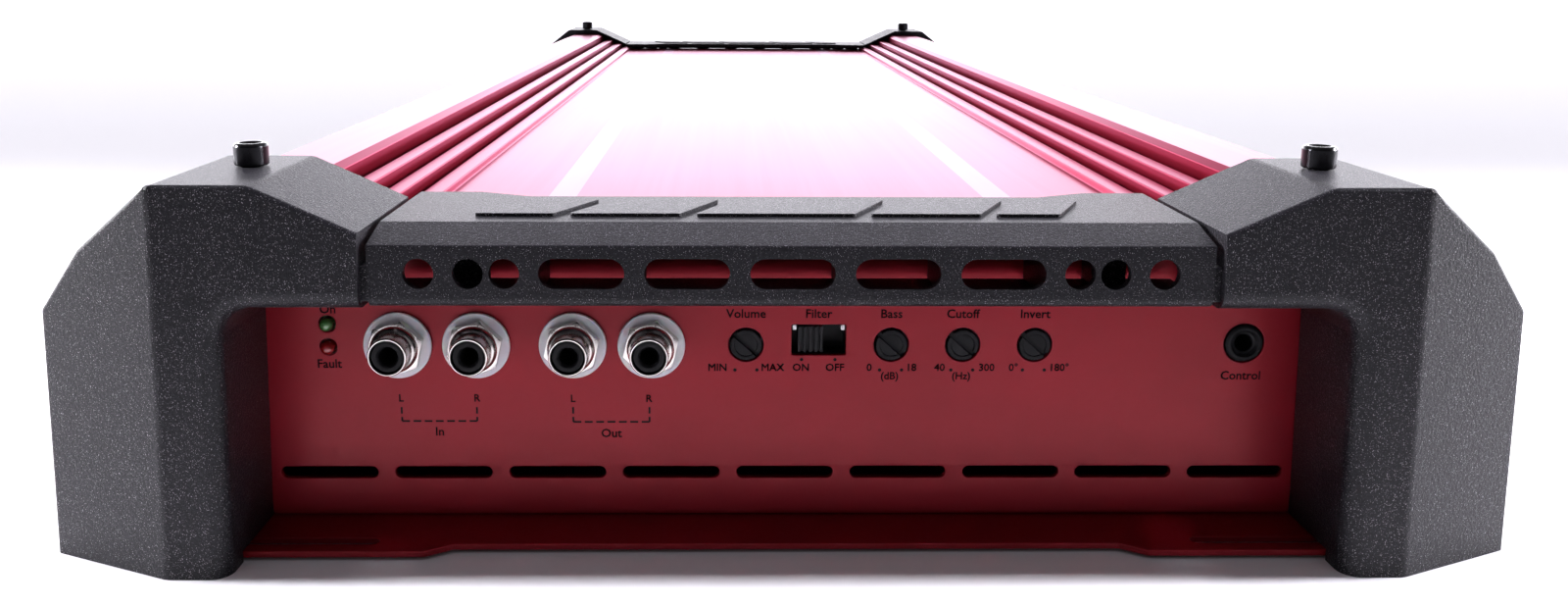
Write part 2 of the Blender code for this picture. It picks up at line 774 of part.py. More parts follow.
def add_rca_jacks(parts, cutters, metal, black, white):
    """Panel jacks: a plated shell with its nut, a black insulator and an insulating washer."""
    barrel = RCA_BARREL_D / 2
    bore = RCA_INSULATOR_D / 2 + GAP
    inner = CONTROL_DEPTH - GAP
    seat, shoulder, neck = RCA_COLLAR_DEPTHS
    dome = [
        (RCA_COLLAR_D / 2 * math.cos(angle), shoulder - RCA_DOME * math.sin(angle))
        for angle in (0, 0.9)
    ]
    shell = [
        (bore, inner - RCA_TAIL),
        (barrel, inner - RCA_TAIL),
        (barrel, seat),
        (RCA_COLLAR_D / 2, seat),
        *dome,
        (barrel, neck),
        (barrel, -RCA_REACH),
        (bore, -RCA_REACH),
    ]
    mouth = RCA_RECESS - RCA_REACH
    insulator = [
        (0, inner),
        (RCA_INSULATOR_D / 2, inner),
        (RCA_INSULATOR_D / 2, mouth),
        (RCA_BORE_D / 2, mouth),
        (RCA_BORE_D / 2, RCA_BORE_END),
        (0, RCA_BORE_END),
    ]
    near, far = RCA_WASHER_DEPTHS
    washer = [
        (barrel + GAP, far),
        (RCA_WASHER_D / 2, far),
        (RCA_WASHER_D / 2, near),
        (barrel + GAP, near),
    ]
    nut = [circle((0, 0), RCA_NUT_D, 6), circle((0, 0), barrel + bore)]
    for name, x in RCA_X.items():
        place = (x, -PANEL_Y, ROW_Z)
        obj = add(parts, f"rca_shell_{name}", ringed(shell), metal, place)
        joined(obj, cutters, across(nut, *RCA_NUT_DEPTHS), "UNION")
        smooth(obj)
        smooth(add(parts, f"rca_insulator_{name}", turned(insulator), black, place))
        smooth(add(parts, f"rca_washer_{name}", ringed(washer), white, place))


def add_lamps(parts, green, red):
    radius = LED_D / 2
    crown, flange, back = LED_DEPTHS
    rim = radius + GAP
    angles = (0, 0.5, 1.0)
    dome = [(radius * math.cos(angle), crown - radius * math.sin(angle)) for angle in angles]
    profile = [(0, back), (rim, back), (rim, flange), (radius, flange), *dome, (0, crown - radius)]
    for (name, z), finish in zip(LED_Z.items(), (green, red)):
        obj = add(parts, f"{name}_led", turned(profile, 12), finish, (LED_X, -PANEL_Y, z))
        smooth(obj)


def add_remote_socket(parts, finish):
    """A round socket whose mouth is dished round its bore."""
    radius = REMOTE_D / 2
    back = CONTROL_DEPTH - GAP
    lip, edge = REMOTE_LIP
    dish, dish_depth = REMOTE_DISH
    bore, bore_end = REMOTE_BORE
    profile = [
        (0, back),
        (radius, back),
        (radius, edge - lip),
        (radius - edge, -lip),
        (dish + edge, -lip),
        (dish, dish_depth),
        (bore, dish_depth),
        (bore, bore_end),
        (0, bore_end),
    ]
    obj = add(parts, "remote_socket", turned(profile), finish, (REMOTE_X, -PANEL_Y, REMOTE_Z))
    smooth(obj)


# ---- trimmers and switch ----


def knob_outline():
    """A knurled rim, with a tip on each tooth and a root between each two."""
    found = []
    for point in range(2 * KNOB_TEETH):
        angle = math.pi * point / KNOB_TEETH
        reach = KNOB_D / 2 * (0.93 if point % 2 else 1)
        found.append((reach * math.cos(angle), reach * math.sin(angle)))
    return found


def add_trimmers(parts, cutters, black, pot_finish):
    """Screwdriver trimmers: a knurled shaft that turns in its own pot."""
    face, back, end = KNOB_DEPTHS
    half = KNOB_SLOT / 2
    low, high = (Vector((s * POT_W / 2, 0, s * POT_H / 2)) for s in (LEFT, RIGHT))
    low.y, high.y = back + 2 * GAP, CONTROL_DEPTH - GAP
    for name, x in KNOB_X.items():
        place = (x, -PANEL_Y, ROW_Z)
        obj = add(parts, f"{name}_knob", across([knob_outline()], face, back), black, place)
        shaft = across([circle((0, 0), KNOB_SHAFT_D, 12)], back - 1 * MM, end)
        joined(obj, cutters, shaft, "UNION")
        cut = box_mesh((-KNOB_D, face - 1 * MM, -half), (KNOB_D, face + KNOB_SLOT_DEPTH, half))
        cut.transform(Matrix.Rotation(math.radians(-KNOB_SLOT_ANGLE), 4, "Y"))
        joined(obj, cutters, cut, "DIFFERENCE")
        body = add(parts, f"{name}_pot", box_mesh(low, high), pot_finish, place)
        bore = across([circle((0, 0), KNOB_SHAFT_D + 2 * GAP, 12)], back, end + GAP)
        joined(body, cutters, bore, "DIFFERENCE")


def slider_outline(floor):
    """The ribbed slider from above, its face towards the panel's outside."""
    half = SLIDER[0] / 2
    pitch = SLIDER[0] / (2 * SLIDER_RIBS - 1)
    tip, root = SLIDER_DEPTHS
    found = [(-half, floor)]
    for rib in range(SLIDER_RIBS):
        left = 2 * rib * pitch - half
        if rib:
            found.append((left, root))
        found += [(left, tip), (left + pitch, tip)]
        if rib < SLIDER_RIBS - 1:
            found.append((left + pitch, root))
    return found + [(half, floor)]


def add_switch(parts, cutters, black, slider_finish):
    """The slide switch: a housing behind the panel and a ribbed slider that travels along X."""
    width, height = SWITCH_HOLE
    place = (SWITCH_X, -PANEL_Y, SWITCH_Z)
    wall = SWITCH_WALL
    low = (-width / 2 - wall, PANEL_T + GAP, -height / 2 - wall)
    high = (width / 2 + wall, CONTROL_DEPTH - GAP, height / 2 + wall)
    body = add(parts, "switch_body", box_mesh(low, high), black, place)
    pocket = box_mesh((-width / 2, 0, -height / 2), (width / 2, SWITCH_FLOOR + GAP, height / 2))
    joined(body, cutters, pocket, "DIFFERENCE")
    mesh = upright([slider_outline(SWITCH_FLOOR)], -SLIDER[1] / 2, SLIDER[1] / 2)
    add(parts, "switch_slider", mesh, slider_finish, (SLIDER_REST_X, -PANEL_Y, SWITCH_Z))


# ---- rear terminals ----


def add_terminals(parts, cutters, name, sockets, diameter, level, black, metal):
    """A terminal block with a wire socket and a clamp screw for each pole."""
    low, high = terminal_limits(sockets, diameter, level)
    near, far = PANEL_Y - TERMINAL_DEPTH, PANEL_Y + TERMINAL_REACH
    box = box_mesh((low[0], near, low[1]), (high[0], far, high[1]))
    block = add(parts, f"{name}_terminal_block", box, black)
    screw_z = level + diameter / 2 + CLAMP_RISE
    head, shank = CLAMP_HEAD_D / 2, CLAMP_SHANK_D / 2
    height, edge = CLAMP_HEAD_H, CLAMP_EDGE
    profile = [
        (0, -CLAMP_LENGTH),
        (shank, -CLAMP_LENGTH),
        (shank, 0),
        (head, 0),
        (head, height - edge),
        (head - edge, height),
        (0, height),
    ]
    cross = box_mesh(
        (-CLAMP_SLOT[0] / 2, height - CLAMP_SLOT[2], -CLAMP_SLOT[1] / 2),
        (CLAMP_SLOT[0] / 2, height + 1 * MM, CLAMP_SLOT[1] / 2),
    )
    for count, x in enumerate(sockets, 1):
        cuts = (
            (level, diameter, TERMINAL_DEPTH + TERMINAL_REACH - SOCKET_FLOOR, 16),
            (screw_z, CLAMP_HEAD_D + 2 * GAP, CLAMP_RECESS, 16),
            (screw_z, CLAMP_SHANK_D + 2 * GAP, CLAMP_LENGTH + 3 * MM, 12),
        )
        for z, width, depth, steps in cuts:
            hole = across([circle((x, z), width, steps)], far - depth, far + 1 * MM)
            joined(block, cutters, hole, "DIFFERENCE")
        place = (x, far - CLAMP_RECESS + GAP, screw_z)
        screw = add(parts, f"{name}_clamp_screw_{count}", turned(profile, 12), metal, place)
        joined(screw, cutters, cross.copy(), "DIFFERENCE")
        smooth(screw)


# ---- electronics ----


def add_boards(parts, finish):
    main = rectangle((-BOARD_X, -BOARD_Y), (BOARD_X, BOARD_Y))
    add(parts, "main_board", upright([main], BOARD_Z, BOARD_Z + BOARD_T), finish)
    front = CONTROL_DEPTH - PANEL_Y
    sheet = across([rectangle(*CONTROL_BOARD)], front, front + BOARD_T)
    add(parts, "control_board", sheet, finish)


def add_standing(parts, name, profile, finish, place):
    """A turned part that stands upright; the profile holds (radius, height)."""
    mesh = turned([(radius, -height) for radius, height in profile])
    mesh.transform(Matrix.Rotation(math.radians(-90), 4, "X"))
    smooth(add(parts, name, mesh, finish, place))


def add_power_parts(parts, cores, sleeve, bar_finish, package):
    """The converter's toroids, capacitors and output coil, and the clamped transistors."""
    deck = BOARD_Z + BOARD_T + GAP
    ring, core = TOROID
    for name, y in TOROID_Y.items():
        section = [Vector(point) + Vector((ring, core)) for point in circle((0, 0), 2 * core, 8)]
        section = [tuple(point) for point in section]
        add_standing(parts, f"toroid_{name}", section + section[:1], cores, (0, y, deck))
    bobbin, flange, winding, height, edge = COIL
    coil = [
        (bobbin, 0),
        (flange, 0),
        (flange, edge),
        (winding, edge),
        (winding, height - edge),
        (flange, height - edge),
        (flange, height),
        (bobbin, height),
        (bobbin, 0),
    ]
    add_standing(parts, "output_coil", coil, cores, (0, COIL_Y, deck))
    radius, tall, crimp = CAPACITOR
    can = [(0, 0), (radius, 0), (radius, tall - crimp), (radius - crimp, tall), (0, tall)]
    for name, y in CAPACITOR_Y.items():
        add_standing(parts, f"capacitor_{name}", can, sleeve, (0, y, deck))
    wall = PARTITION_X - GAP
    behind = wall - TRANSISTOR[0] - GAP
    for side, side_name in ((LEFT, "left"), (RIGHT, "right")):
        inner, outer = sorted((side * (wall - TRANSISTOR[0]), side * wall))
        low = (inner, -TRANSISTOR[1] / 2, deck)
        high = (outer, TRANSISTOR[1] / 2, deck + TRANSISTOR[2])
        add(parts, f"transistor_{side_name}", box_mesh(low, high), package)
        inner, outer = sorted((side * (behind - CLAMP_BAR[0]), side * behind))
        low = (inner, -CLAMP_BAR[1] / 2, deck + CLAMP_BAR_RISE)
        high = (outer, CLAMP_BAR[1] / 2, deck + CLAMP_BAR_RISE + CLAMP_BAR[2])
        add(parts, f"transistor_clamp_{side_name}", box_mesh(low, high), bar_finish)


def main():
    clear_scene()
    parts = collection("car_amplifier")
    cutters = collection("cutters")
    cutters.hide_render = True
    red = material("red_anodised", (0.30, 0.02, 0.04), 0.25, 0.6)
    red_sheet = material("red_sheet", (0.22, 0.012, 0.02), 0.35, 0.2)
    charcoal = material("charcoal_moulding", (0.028, 0.027, 0.03), 0.6)
    screw_black = material("black_nickel", (0.05, 0.05, 0.055), 0.25, 1.0)
    nickel = material("nickel_plate", (0.72, 0.68, 0.64), 0.18, 1.0)
    black = material("black_plastic", (0.012, 0.012, 0.013), 0.35)
    ribbed = material("slider_plastic", (0.03, 0.03, 0.032), 0.5)
    white = material("white_washer", (0.8, 0.79, 0.78), 0.45)
    green_lens = material("green_lens", (0.05, 0.22, 0.07), 0.2)
    red_lens = material("red_lens", (0.3, 0.01, 0.015), 0.2)
    board = material("circuit_board", (0.02, 0.14, 0.05), 0.45)
    copper = material("coil_copper", (0.5, 0.2, 0.08), 0.35, 0.8)
    sleeve = material("capacitor_sleeve", (0.02, 0.03, 0.09), 0.35)
    steel = material("clamp_steel", (0.5, 0.5, 0.5), 0.4, 1.0)

    add_heatsink(parts, cutters, red)
    add_corner_blocks(parts, cutters, charcoal)
    add_bridges(parts, cutters, charcoal)
    add_bottom_plate(parts, cutters, red_sheet)
    add_front_panel(parts, red_sheet)
    add_rear_panel(parts, red_sheet)
    add_corner_screws(parts, cutters, screw_black)
    add_rca_jacks(parts, cutters, nickel, black, white)
    add_lamps(parts, green_lens, red_lens)
    add_remote_socket(parts, black)
    add_trimmers(parts, cutters, black, sleeve)
    add_switch(parts, cutters, black, ribbed)
    add_terminals(parts, cutters, "power", POWER_X, POWER_SOCKET_D, POWER_Z, black, nickel)
    add_terminals(parts, cutters, "speaker", SPEAKER_X, SPEAKER_SOCKET_D, SPEAKER_Z, black, nickel)
    add_boards(parts, board)
    add_power_parts(parts, copper, sleeve, steel, black)


main()
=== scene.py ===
"""Looks of a car audio power amplifier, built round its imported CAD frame.

Metres, in the row frame: X across the amplifier, Y along it, the control end facing -Y, +Z up.
"""

import math

import bmesh
import bpy
from mathutils import Matrix, Vector


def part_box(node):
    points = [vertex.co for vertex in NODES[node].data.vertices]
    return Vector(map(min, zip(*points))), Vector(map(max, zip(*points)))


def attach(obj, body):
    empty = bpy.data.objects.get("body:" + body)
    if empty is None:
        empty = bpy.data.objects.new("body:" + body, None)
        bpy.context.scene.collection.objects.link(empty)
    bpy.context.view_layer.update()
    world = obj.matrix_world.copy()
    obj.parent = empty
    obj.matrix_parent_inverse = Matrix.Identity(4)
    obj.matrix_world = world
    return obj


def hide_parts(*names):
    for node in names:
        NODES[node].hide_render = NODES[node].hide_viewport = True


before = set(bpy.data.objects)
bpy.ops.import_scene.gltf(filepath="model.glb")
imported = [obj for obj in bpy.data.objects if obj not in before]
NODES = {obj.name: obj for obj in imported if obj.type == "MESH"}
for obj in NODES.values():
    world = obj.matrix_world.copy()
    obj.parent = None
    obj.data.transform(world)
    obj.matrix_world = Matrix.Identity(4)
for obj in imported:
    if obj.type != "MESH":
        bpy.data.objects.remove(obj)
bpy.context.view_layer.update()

MM = 0.001
FRONT, REAR = -1, 1
LEFT, RIGHT = -1, 1
ENDS = {"front": FRONT, "rear": REAR}
SIDES = {"left": LEFT, "right": RIGHT}
QUARTER_X = Matrix.Rotation(math.radians(90), 4, "X")

# Sizes that the pieces share with the CAD part.
PANEL_Y = -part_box("front_panel")[0].y
CAP_FRONT = 26.3 * MM
GAP = 0.3 * MM
TOP_Z = 80.7 * MM
TOP_IN_X, TOP_OUT_X = 104.2 * MM, 123.3 * MM
SLOPE_X, SLOPE_Z = 141.1 * MM, 66.4 * MM
SIDE_X, SIDE_Z = 151.4 * MM, 53 * MM
SEAM_X, SEAM_Z = 83.6 * MM, 71.5 * MM
ARCH_Z, ARCH_RADIUS = 56 * MM, 6 * MM
LEG_X = 110.8 * MM
CHAMFER_DEPTH = 12.6 * MM
CAP_BACK = 14.2 * MM
ROUND_OVER = 4 * MM
EDGE_ROUND = 0.9 * MM
DRAFT = 2.6 * MM
SCREW_X, SCREW_DEPTH = 112.1 * MM, -1.3 * MM
ROW_Z = 41.6 * MM
PANEL_T = 1.6 * MM
PANEL_X = 113.4 * MM
PANEL_TOP_Z = 61.4 * MM
PLATE_Z, PLATE_T = 0.8 * MM, 1.4 * MM
FLAT_Z, FLAT_X = 67.6 * MM, 80.2 * MM
# Where the two stripes of painted reflection lie on the heatsink's middle flat.
REFLECTION_BAND_X, REFLECTION_BAND_HALF_WIDTH = 52.6 * MM, 3.35 * MM


def in_mm(*points):
    """Points given in millimetres, as metres."""
    return [tuple(number * MM for number in point) for point in points]


# ---- node materials ----


def add_node(tree, kind, inputs=(), **settings):
    """A new node whose inputs take other nodes' sockets or plain values."""
    made = tree.nodes.new(kind)
    for key, value in settings.items():
        setattr(made, key, value)
    for key, value in dict(inputs).items():
        if isinstance(value, bpy.types.NodeSocket):
            tree.links.new(value, made.inputs[key])
        else:
            made.inputs[key].default_value = value
    return made


def range_inputs(*values):
    return dict(zip(("Value", "From Min", "From Max", "To Min", "To Max"), values))


class Finish:
    """A Principled material, with short calls for the nodes that feed it."""

    def __init__(self, name, **values):
        self.material = bpy.data.materials.new(name)
        self.material.use_nodes = True
        self.tree = self.material.node_tree
        self.shader = self.tree.nodes["Principled BSDF"]
        for key, value in values.items():
            self.shader.inputs[key.replace("_", " ")].default_value = value
        self.place = self.tree.nodes.new("ShaderNodeTexCoord").outputs["Object"]

    def node(self, kind, inputs=(), **settings):
        return add_node(self.tree, kind, inputs, **settings)

    def noise(self, scale, detail=2.0, rough=0.5, stretch=(1, 1, 1)):
        place = self.node("ShaderNodeMapping", {"Vector": self.place, "Scale": stretch}).outputs[0]
        inputs = {"Vector": place, "Scale": scale, "Detail": detail, "Roughness": rough}
        return self.node("ShaderNodeTexNoise", inputs).outputs["Fac"]

    def cells(self, scale):
        inputs = {"Vector": self.place, "Scale": scale}
        return self.node("ShaderNodeTexVoronoi", inputs).outputs["Distance"]

    def math(self, operation, *values):
        return self.node("ShaderNodeMath", enumerate(values), operation=operation).outputs[0]

    def span(self, value, low, high, to_low=0.0, to_high=1.0):
        inputs = range_inputs(value, low, high, to_low, to_high)
        return self.node("ShaderNodeMapRange", inputs).outputs[0]

    def blend(self, share, first, second, mode="MIX"):
        made = self.node("ShaderNodeMix", data_type="RGBA", blend_type=mode)
        for index, value in ((0, share), (6, first), (7, second)):
            socket = made.inputs[index]
            if isinstance(value, bpy.types.NodeSocket):
                self.tree.links.new(value, socket)
            else:
                socket.default_value = value if socket.type == "VALUE" else (*value, 1)
        return made.outputs[2]

    def axis(self, letter):
        return self.node("ShaderNodeSeparateXYZ", {"Vector": self.place}).outputs[letter]

    def bump(self, height, distance, strength=1.0, below=None):
        inputs = {"Height": height, "Distance": distance, "Strength": strength}
        if below is not None:
            inputs["Normal"] = below
        return self.node("ShaderNodeBump", inputs).outputs[0]

    def feed(self, key, value):
        self.tree.links.new(value, self.shader.inputs[key])

    def colour(self, value):
        self.feed("Base Color", value)

    def roughness(self, value, low, high):
        self.feed("Roughness", self.span(value, 0.3, 0.7, low, high))


def moulding_finish():
    """Charcoal moulded plastic: a pebbled grain with fine bright specks."""
    made = Finish("charcoal_moulding", Roughness=0.5, Specular_IOR_Level=0.2)
    pebbles = made.noise(1500, 3, 0.55)
    fine = made.noise(4200, 2, 0.6)
    broad = made.noise(60, 3, 0.6)
    flecks = made.span(made.noise(5200, 0, 0.5), 0.72, 0.78)
    dark, light = (0.003, 0.0028, 0.004), (0.010, 0.0095, 0.013)
    grain = made.blend(made.span(pebbles, 0.35, 0.68), dark, light)
    worn = made.blend(made.span(broad, 0.3, 0.75, 0.0, 0.35), grain, (0.013, 0.012, 0.015))
    made.colour(made.blend(flecks, worn, (0.28, 0.27, 0.29)))
    made.roughness(fine, 0.33, 0.54)
    under = made.bump(pebbles, 0.18 * MM, 0.9)
    made.feed("Normal", made.bump(fine, 0.05 * MM, 0.7, under))
    return made.material


def anodised_finish():
    """Glossy wine-red anodising on an extrusion, with two pale stripes of painted reflection along
    the middle flat.
    """
    sheen = {"Specular_Tint": (0.7, 0.48, 0.62, 1), "Coat_Weight": 0.05, "Coat_Roughness": 0.1}
    made = Finish("red_anodised", Metallic=0.8, Roughness=0.3, **sheen)
    drawn = made.noise(420, 3, 0.6, (1, 0.012, 1))
    mottle = made.noise(14, 3, 0.55)
    # A painted reflection, pale blue-grey, is mixed into two stripes on the middle flat.
    x = made.math("ABSOLUTE", made.axis("X"))
    near = made.math("COMPARE", x, REFLECTION_BAND_X, REFLECTION_BAND_HALF_WIDTH)
    flat = made.math("COMPARE", made.axis("Z"), FLAT_Z, 0.15 * MM)
    reflection_band = made.math("MULTIPLY", near, flat)
    red = made.blend(made.span(drawn, 0.3, 0.7), (0.21, 0.005, 0.014), (0.24, 0.007, 0.019))
    red = made.blend(made.span(mottle, 0.35, 0.7, 0.0, 0.5), red, (0.26, 0.009, 0.024))
    made.colour(made.blend(made.math("MULTIPLY", reflection_band, 0.4), red, (0.34, 0.36, 0.44)))
    made.feed("Roughness", made.span(drawn, 0.25, 0.75, 0.29, 0.31))
    made.feed("Normal", made.bump(drawn, 0.0015 * MM, 0.4))
    return made.material


def sheet_finish():
    """Satin wine-red finish on the sheet metal."""
    sheen = {"Specular_IOR_Level": 0.3, "Coat_Weight": 0.05, "Coat_Roughness": 0.2}
    made = Finish("red_sheet", Metallic=0.3, Roughness=0.34, **sheen)
    peel = made.noise(900, 2, 0.5)
    mottle = made.noise(25, 3, 0.6)
    red = made.blend(made.span(mottle, 0.3, 0.7), (0.20, 0.003, 0.009), (0.24, 0.004, 0.012))
    made.colour(red)
    made.roughness(peel, 0.33, 0.45)
    made.feed("Normal", made.bump(peel, 0.012 * MM, 0.5))
    return made.material


def bare_edge_and_painted_light_finish():
    """Bare metal where a slot is cut through the painted sheet, in a pale colour that is also
    painted light, standing in for the bright line of light seen through the slot.
    """
    made = Finish("bare_edge_and_painted_light", Metallic=0.3, Roughness=0.35)
    drawn = made.noise(900, 2, 0.6, (0.1, 1, 1))
    made.colour(made.blend(drawn, (0.75, 0.73, 0.72), (0.9, 0.88, 0.87)))
    made.roughness(drawn, 0.28, 0.45)
    return made.material


def metal_finish(name, dark, light, low, high, scratch=900, coat=0.0):
    """Plated or bare metal with faint turning marks."""
    made = Finish(name, Metallic=1.0, Coat_Weight=coat, Coat_Roughness=0.05)
    marks = made.noise(scratch, 3, 0.65, (1, 6, 1))
    cloud = made.noise(180, 2, 0.5)
    made.colour(made.blend(cloud, dark, light))
    made.roughness(marks, low, high)
    made.feed("Normal", made.bump(marks, 0.004 * MM, 0.5))
    return made.material


def plastic_finish(name, dark, light, low, high, grain=1800, depth=0.02):
    """Moulded plastic with a light grain."""
    made = Finish(name, Specular_IOR_Level=0.1)
    texture = made.noise(grain, 2, 0.5)
    cloud = made.noise(120, 3, 0.6)
    made.colour(made.blend(made.span(cloud, 0.3, 0.7), dark, light))
    made.roughness(texture, low, high)
    made.feed("Normal", made.bump(texture, depth * MM, 0.6))
    return made.material


def washer_finish():
    """Off-white insulating washer."""
    made = Finish("white_washer", Subsurface_Weight=0.15, Subsurface_Scale=0.5 * MM)
    cloud = made.noise(500, 3, 0.6)
    made.colour(made.blend(cloud, (0.70, 0.68, 0.72), (0.82, 0.81, 0.84)))
    made.roughness(cloud, 0.38, 0.5)
    made.feed("Normal", made.bump(made.noise(2500, 2, 0.5), 0.01 * MM, 0.5))
    return made.material


def lens_finish(name, deep, pale):
    """An unlit coloured lamp lens."""
    made = Finish(name, Coat_Weight=1.0, Coat_Roughness=0.04, Subsurface_Weight=0.3)
    made.shader.inputs["Subsurface Scale"].default_value = MM
    cloud = made.noise(700, 2, 0.5)
    made.colour(made.blend(cloud, deep, pale))
    made.roughness(cloud, 0.16, 0.28)
    return made.material


def print_finish():
    """Black silk-screened ink."""
    made = Finish("black_print", Specular_IOR_Level=0.1)
    ink = made.noise(2600, 2, 0.6)
    made.colour(made.blend(ink, (0.004, 0.002, 0.003), (0.010, 0.004, 0.005)))
    made.roughness(ink, 0.4, 0.6)
    return made.material


def board_finish():
    """A solder-masked circuit board with traces and plated pads."""
    made = Finish("circuit_board", Coat_Weight=0.4, Coat_Roughness=0.2)
    inputs = {"Vector": made.place, "Scale": 90, "Mortar Size": 0.012}
    mask = {"Color1": (0.012, 0.10, 0.035, 1), "Color2": (0.016, 0.13, 0.045, 1)}
    inputs.update(mask, Mortar=(0.03, 0.22, 0.08, 1))
    brick = made.node("ShaderNodeTexBrick", inputs).outputs["Color"]
    pads = made.span(made.cells(260), 0.09, 0.07)
    made.colour(made.blend(pads, brick, (0.55, 0.5, 0.42)))
    made.roughness(made.noise(500), 0.3, 0.5)
    return made.material


def winding_finish():
    """Enamelled copper wire, wound turn beside turn."""
    made = Finish("coil_copper", Metallic=0.9)
    wire = made.node(
        "ShaderNodeTexWave",
        {"Vector": made.place, "Scale": 420, "Distortion": 1.5, "Detail": 1, "Detail Scale": 3},
        wave_type="BANDS",
        bands_direction="DIAGONAL",
    ).outputs["Fac"]
    made.colour(made.blend(wire, (0.20, 0.06, 0.02), (0.62, 0.26, 0.10)))
    made.feed("Roughness", made.span(wire, 0, 1, 0.5, 0.28))
    made.feed("Normal", made.bump(wire, 0.3 * MM, 0.8))
    return made.material


def sleeve_finish():
    """A printed plastic sleeve, such as a capacitor's."""
    made = Finish("capacitor_sleeve", Coat_Weight=0.3, Coat_Roughness=0.15)
    cloud = made.noise(300, 2, 0.5)
    stripe = made.span(made.math("ABSOLUTE", made.axis("X")), 3.2 * MM, 3.0 * MM)
    base = made.blend(cloud, (0.010, 0.014, 0.045), (0.018, 0.024, 0.07))
    made.colour(made.blend(made.math("MULTIPLY", stripe, 0.6), base, (0.35, 0.36, 0.4)))
    made.roughness(cloud, 0.28, 0.42)
    return made.material


MOULDING = moulding_finish()
ANODISED = anodised_finish()
SHEET = sheet_finish()
BARE_EDGE_AND_PAINTED_LIGHT = bare_edge_and_painted_light_finish()
NICKEL = metal_finish("nickel_plate", (0.60, 0.56, 0.53), (0.72, 0.68, 0.65), 0.12, 0.24)
BLACK_NICKEL = metal_finish("black_nickel", (0.018, 0.018, 0.02), (0.035, 0.035, 0.038), 0.14, 0.26)
STEEL = metal_finish("clamp_steel", (0.42, 0.42, 0.43), (0.56, 0.56, 0.57), 0.3, 0.5)
BLACK = plastic_finish("black_plastic", (0.008, 0.008, 0.009), (0.014, 0.014, 0.015), 0.28, 0.42)
SLIDER_DARK, SLIDER_LIGHT = (0.02, 0.02, 0.021), (0.032, 0.032, 0.034)
SLIDER_BLACK = plastic_finish("slider_plastic", SLIDER_DARK, SLIDER_LIGHT, 0.4, 0.55)
WASHER = washer_finish()
GREEN = lens_finish("green_lens", (0.035, 0.13, 0.03), (0.07, 0.20, 0.05))
RED = lens_finish("red_lens", (0.22, 0.004, 0.006), (0.34, 0.01, 0.012))
INK = print_finish()
BOARD = board_finish()
COPPER = winding_finish()
SLEEVE = sleeve_finish()


# ---- mesh helpers ----


def at_end(end, depth):
    """The Y of a plane at this depth behind a panel's outer face."""
    return end * (PANEL_Y - depth)


def arc(centre, radius, start, stop, steps):
    angles = [math.radians(start + (stop - start) * step / steps) for step in range(steps + 1)]
    return [(centre[0] + radius * math.cos(a), centre[1] + radius * math.sin(a)) for a in angles]


def circle(centre, diameter, steps=48, turn=0.0):
    return arc(centre, diameter / 2, turn, turn + 360 * (steps - 1) / steps, steps - 1)


def rounded_box(low, high, radius, steps=5):
    """A rectangle with round corners."""
    (x0, y0), (x1, y1) = low, high
    found = arc((x1 - radius, y0 + radius), radius, -90, 0, steps)
    found += arc((x1 - radius, y1 - radius), radius, 0, 90, steps)
    found += arc((x0 + radius, y1 - radius), radius, 90, 180, steps)
    return found + arc((x0 + radius, y0 + radius), radius, 180, 270, steps)


def slot(centre, length, width, steps=12):
    """A round-ended slot lying along the first axis."""
    (x, y), reach = centre, (length - width) / 2
    right = arc((x + reach, y), width / 2, -90, 90, steps)
    return right + arc((x - reach, y), width / 2, 90, 270, steps)


def mirrored(half):
    return half + [(-x, y) for x, y in reversed(half)]


def signed_area(points):
    turned_on = points[1:] + points[:1]
    return sum(a[0] * b[1] - b[0] * a[1] for a, b in zip(points, turned_on)) / 2


def filleted(points, radius, steps=3):
    """The closed outline with each corner rounded, by less where its sides are short."""
    found = []
    count = len(points)
    for i in range(count):
        before, here, after = (Vector(points[j % count]) for j in (i - 1, i, i + 1))
        back, on = before - here, after - here
        if min(back.length, on.length) < 1e-7:
            continue
        bend = back.angle(on)
        if bend > math.radians(176):
            found.append(tuple(here))
            continue
        reach = min(radius / math.tan(bend / 2), 0.45 * back.length, 0.45 * on.length)
        start, stop = here + back.normalized() * reach, here + on.normalized() * reach
        for step in range(steps + 1):
            t = step / steps
            found.append(tuple((1 - t) ** 2 * start + 2 * t * (1 - t) * here + t * t * stop))
    return found


def linked(name, data):
    """A new object in the scene."""
    obj = bpy.data.objects.new(name, data)
    bpy.context.scene.collection.objects.link(obj)
    return obj


def temporary(data):
    return linked("temporary", data)


def baked(obj, *helpers):
    """The object's mesh with its modifiers applied; the object and its helpers are then removed."""
    graph = bpy.context.evaluated_depsgraph_get()
    made = bpy.data.meshes.new_from_object(obj.evaluated_get(graph))
    for item in (obj, *helpers):
        bpy.data.objects.remove(item)
    return made


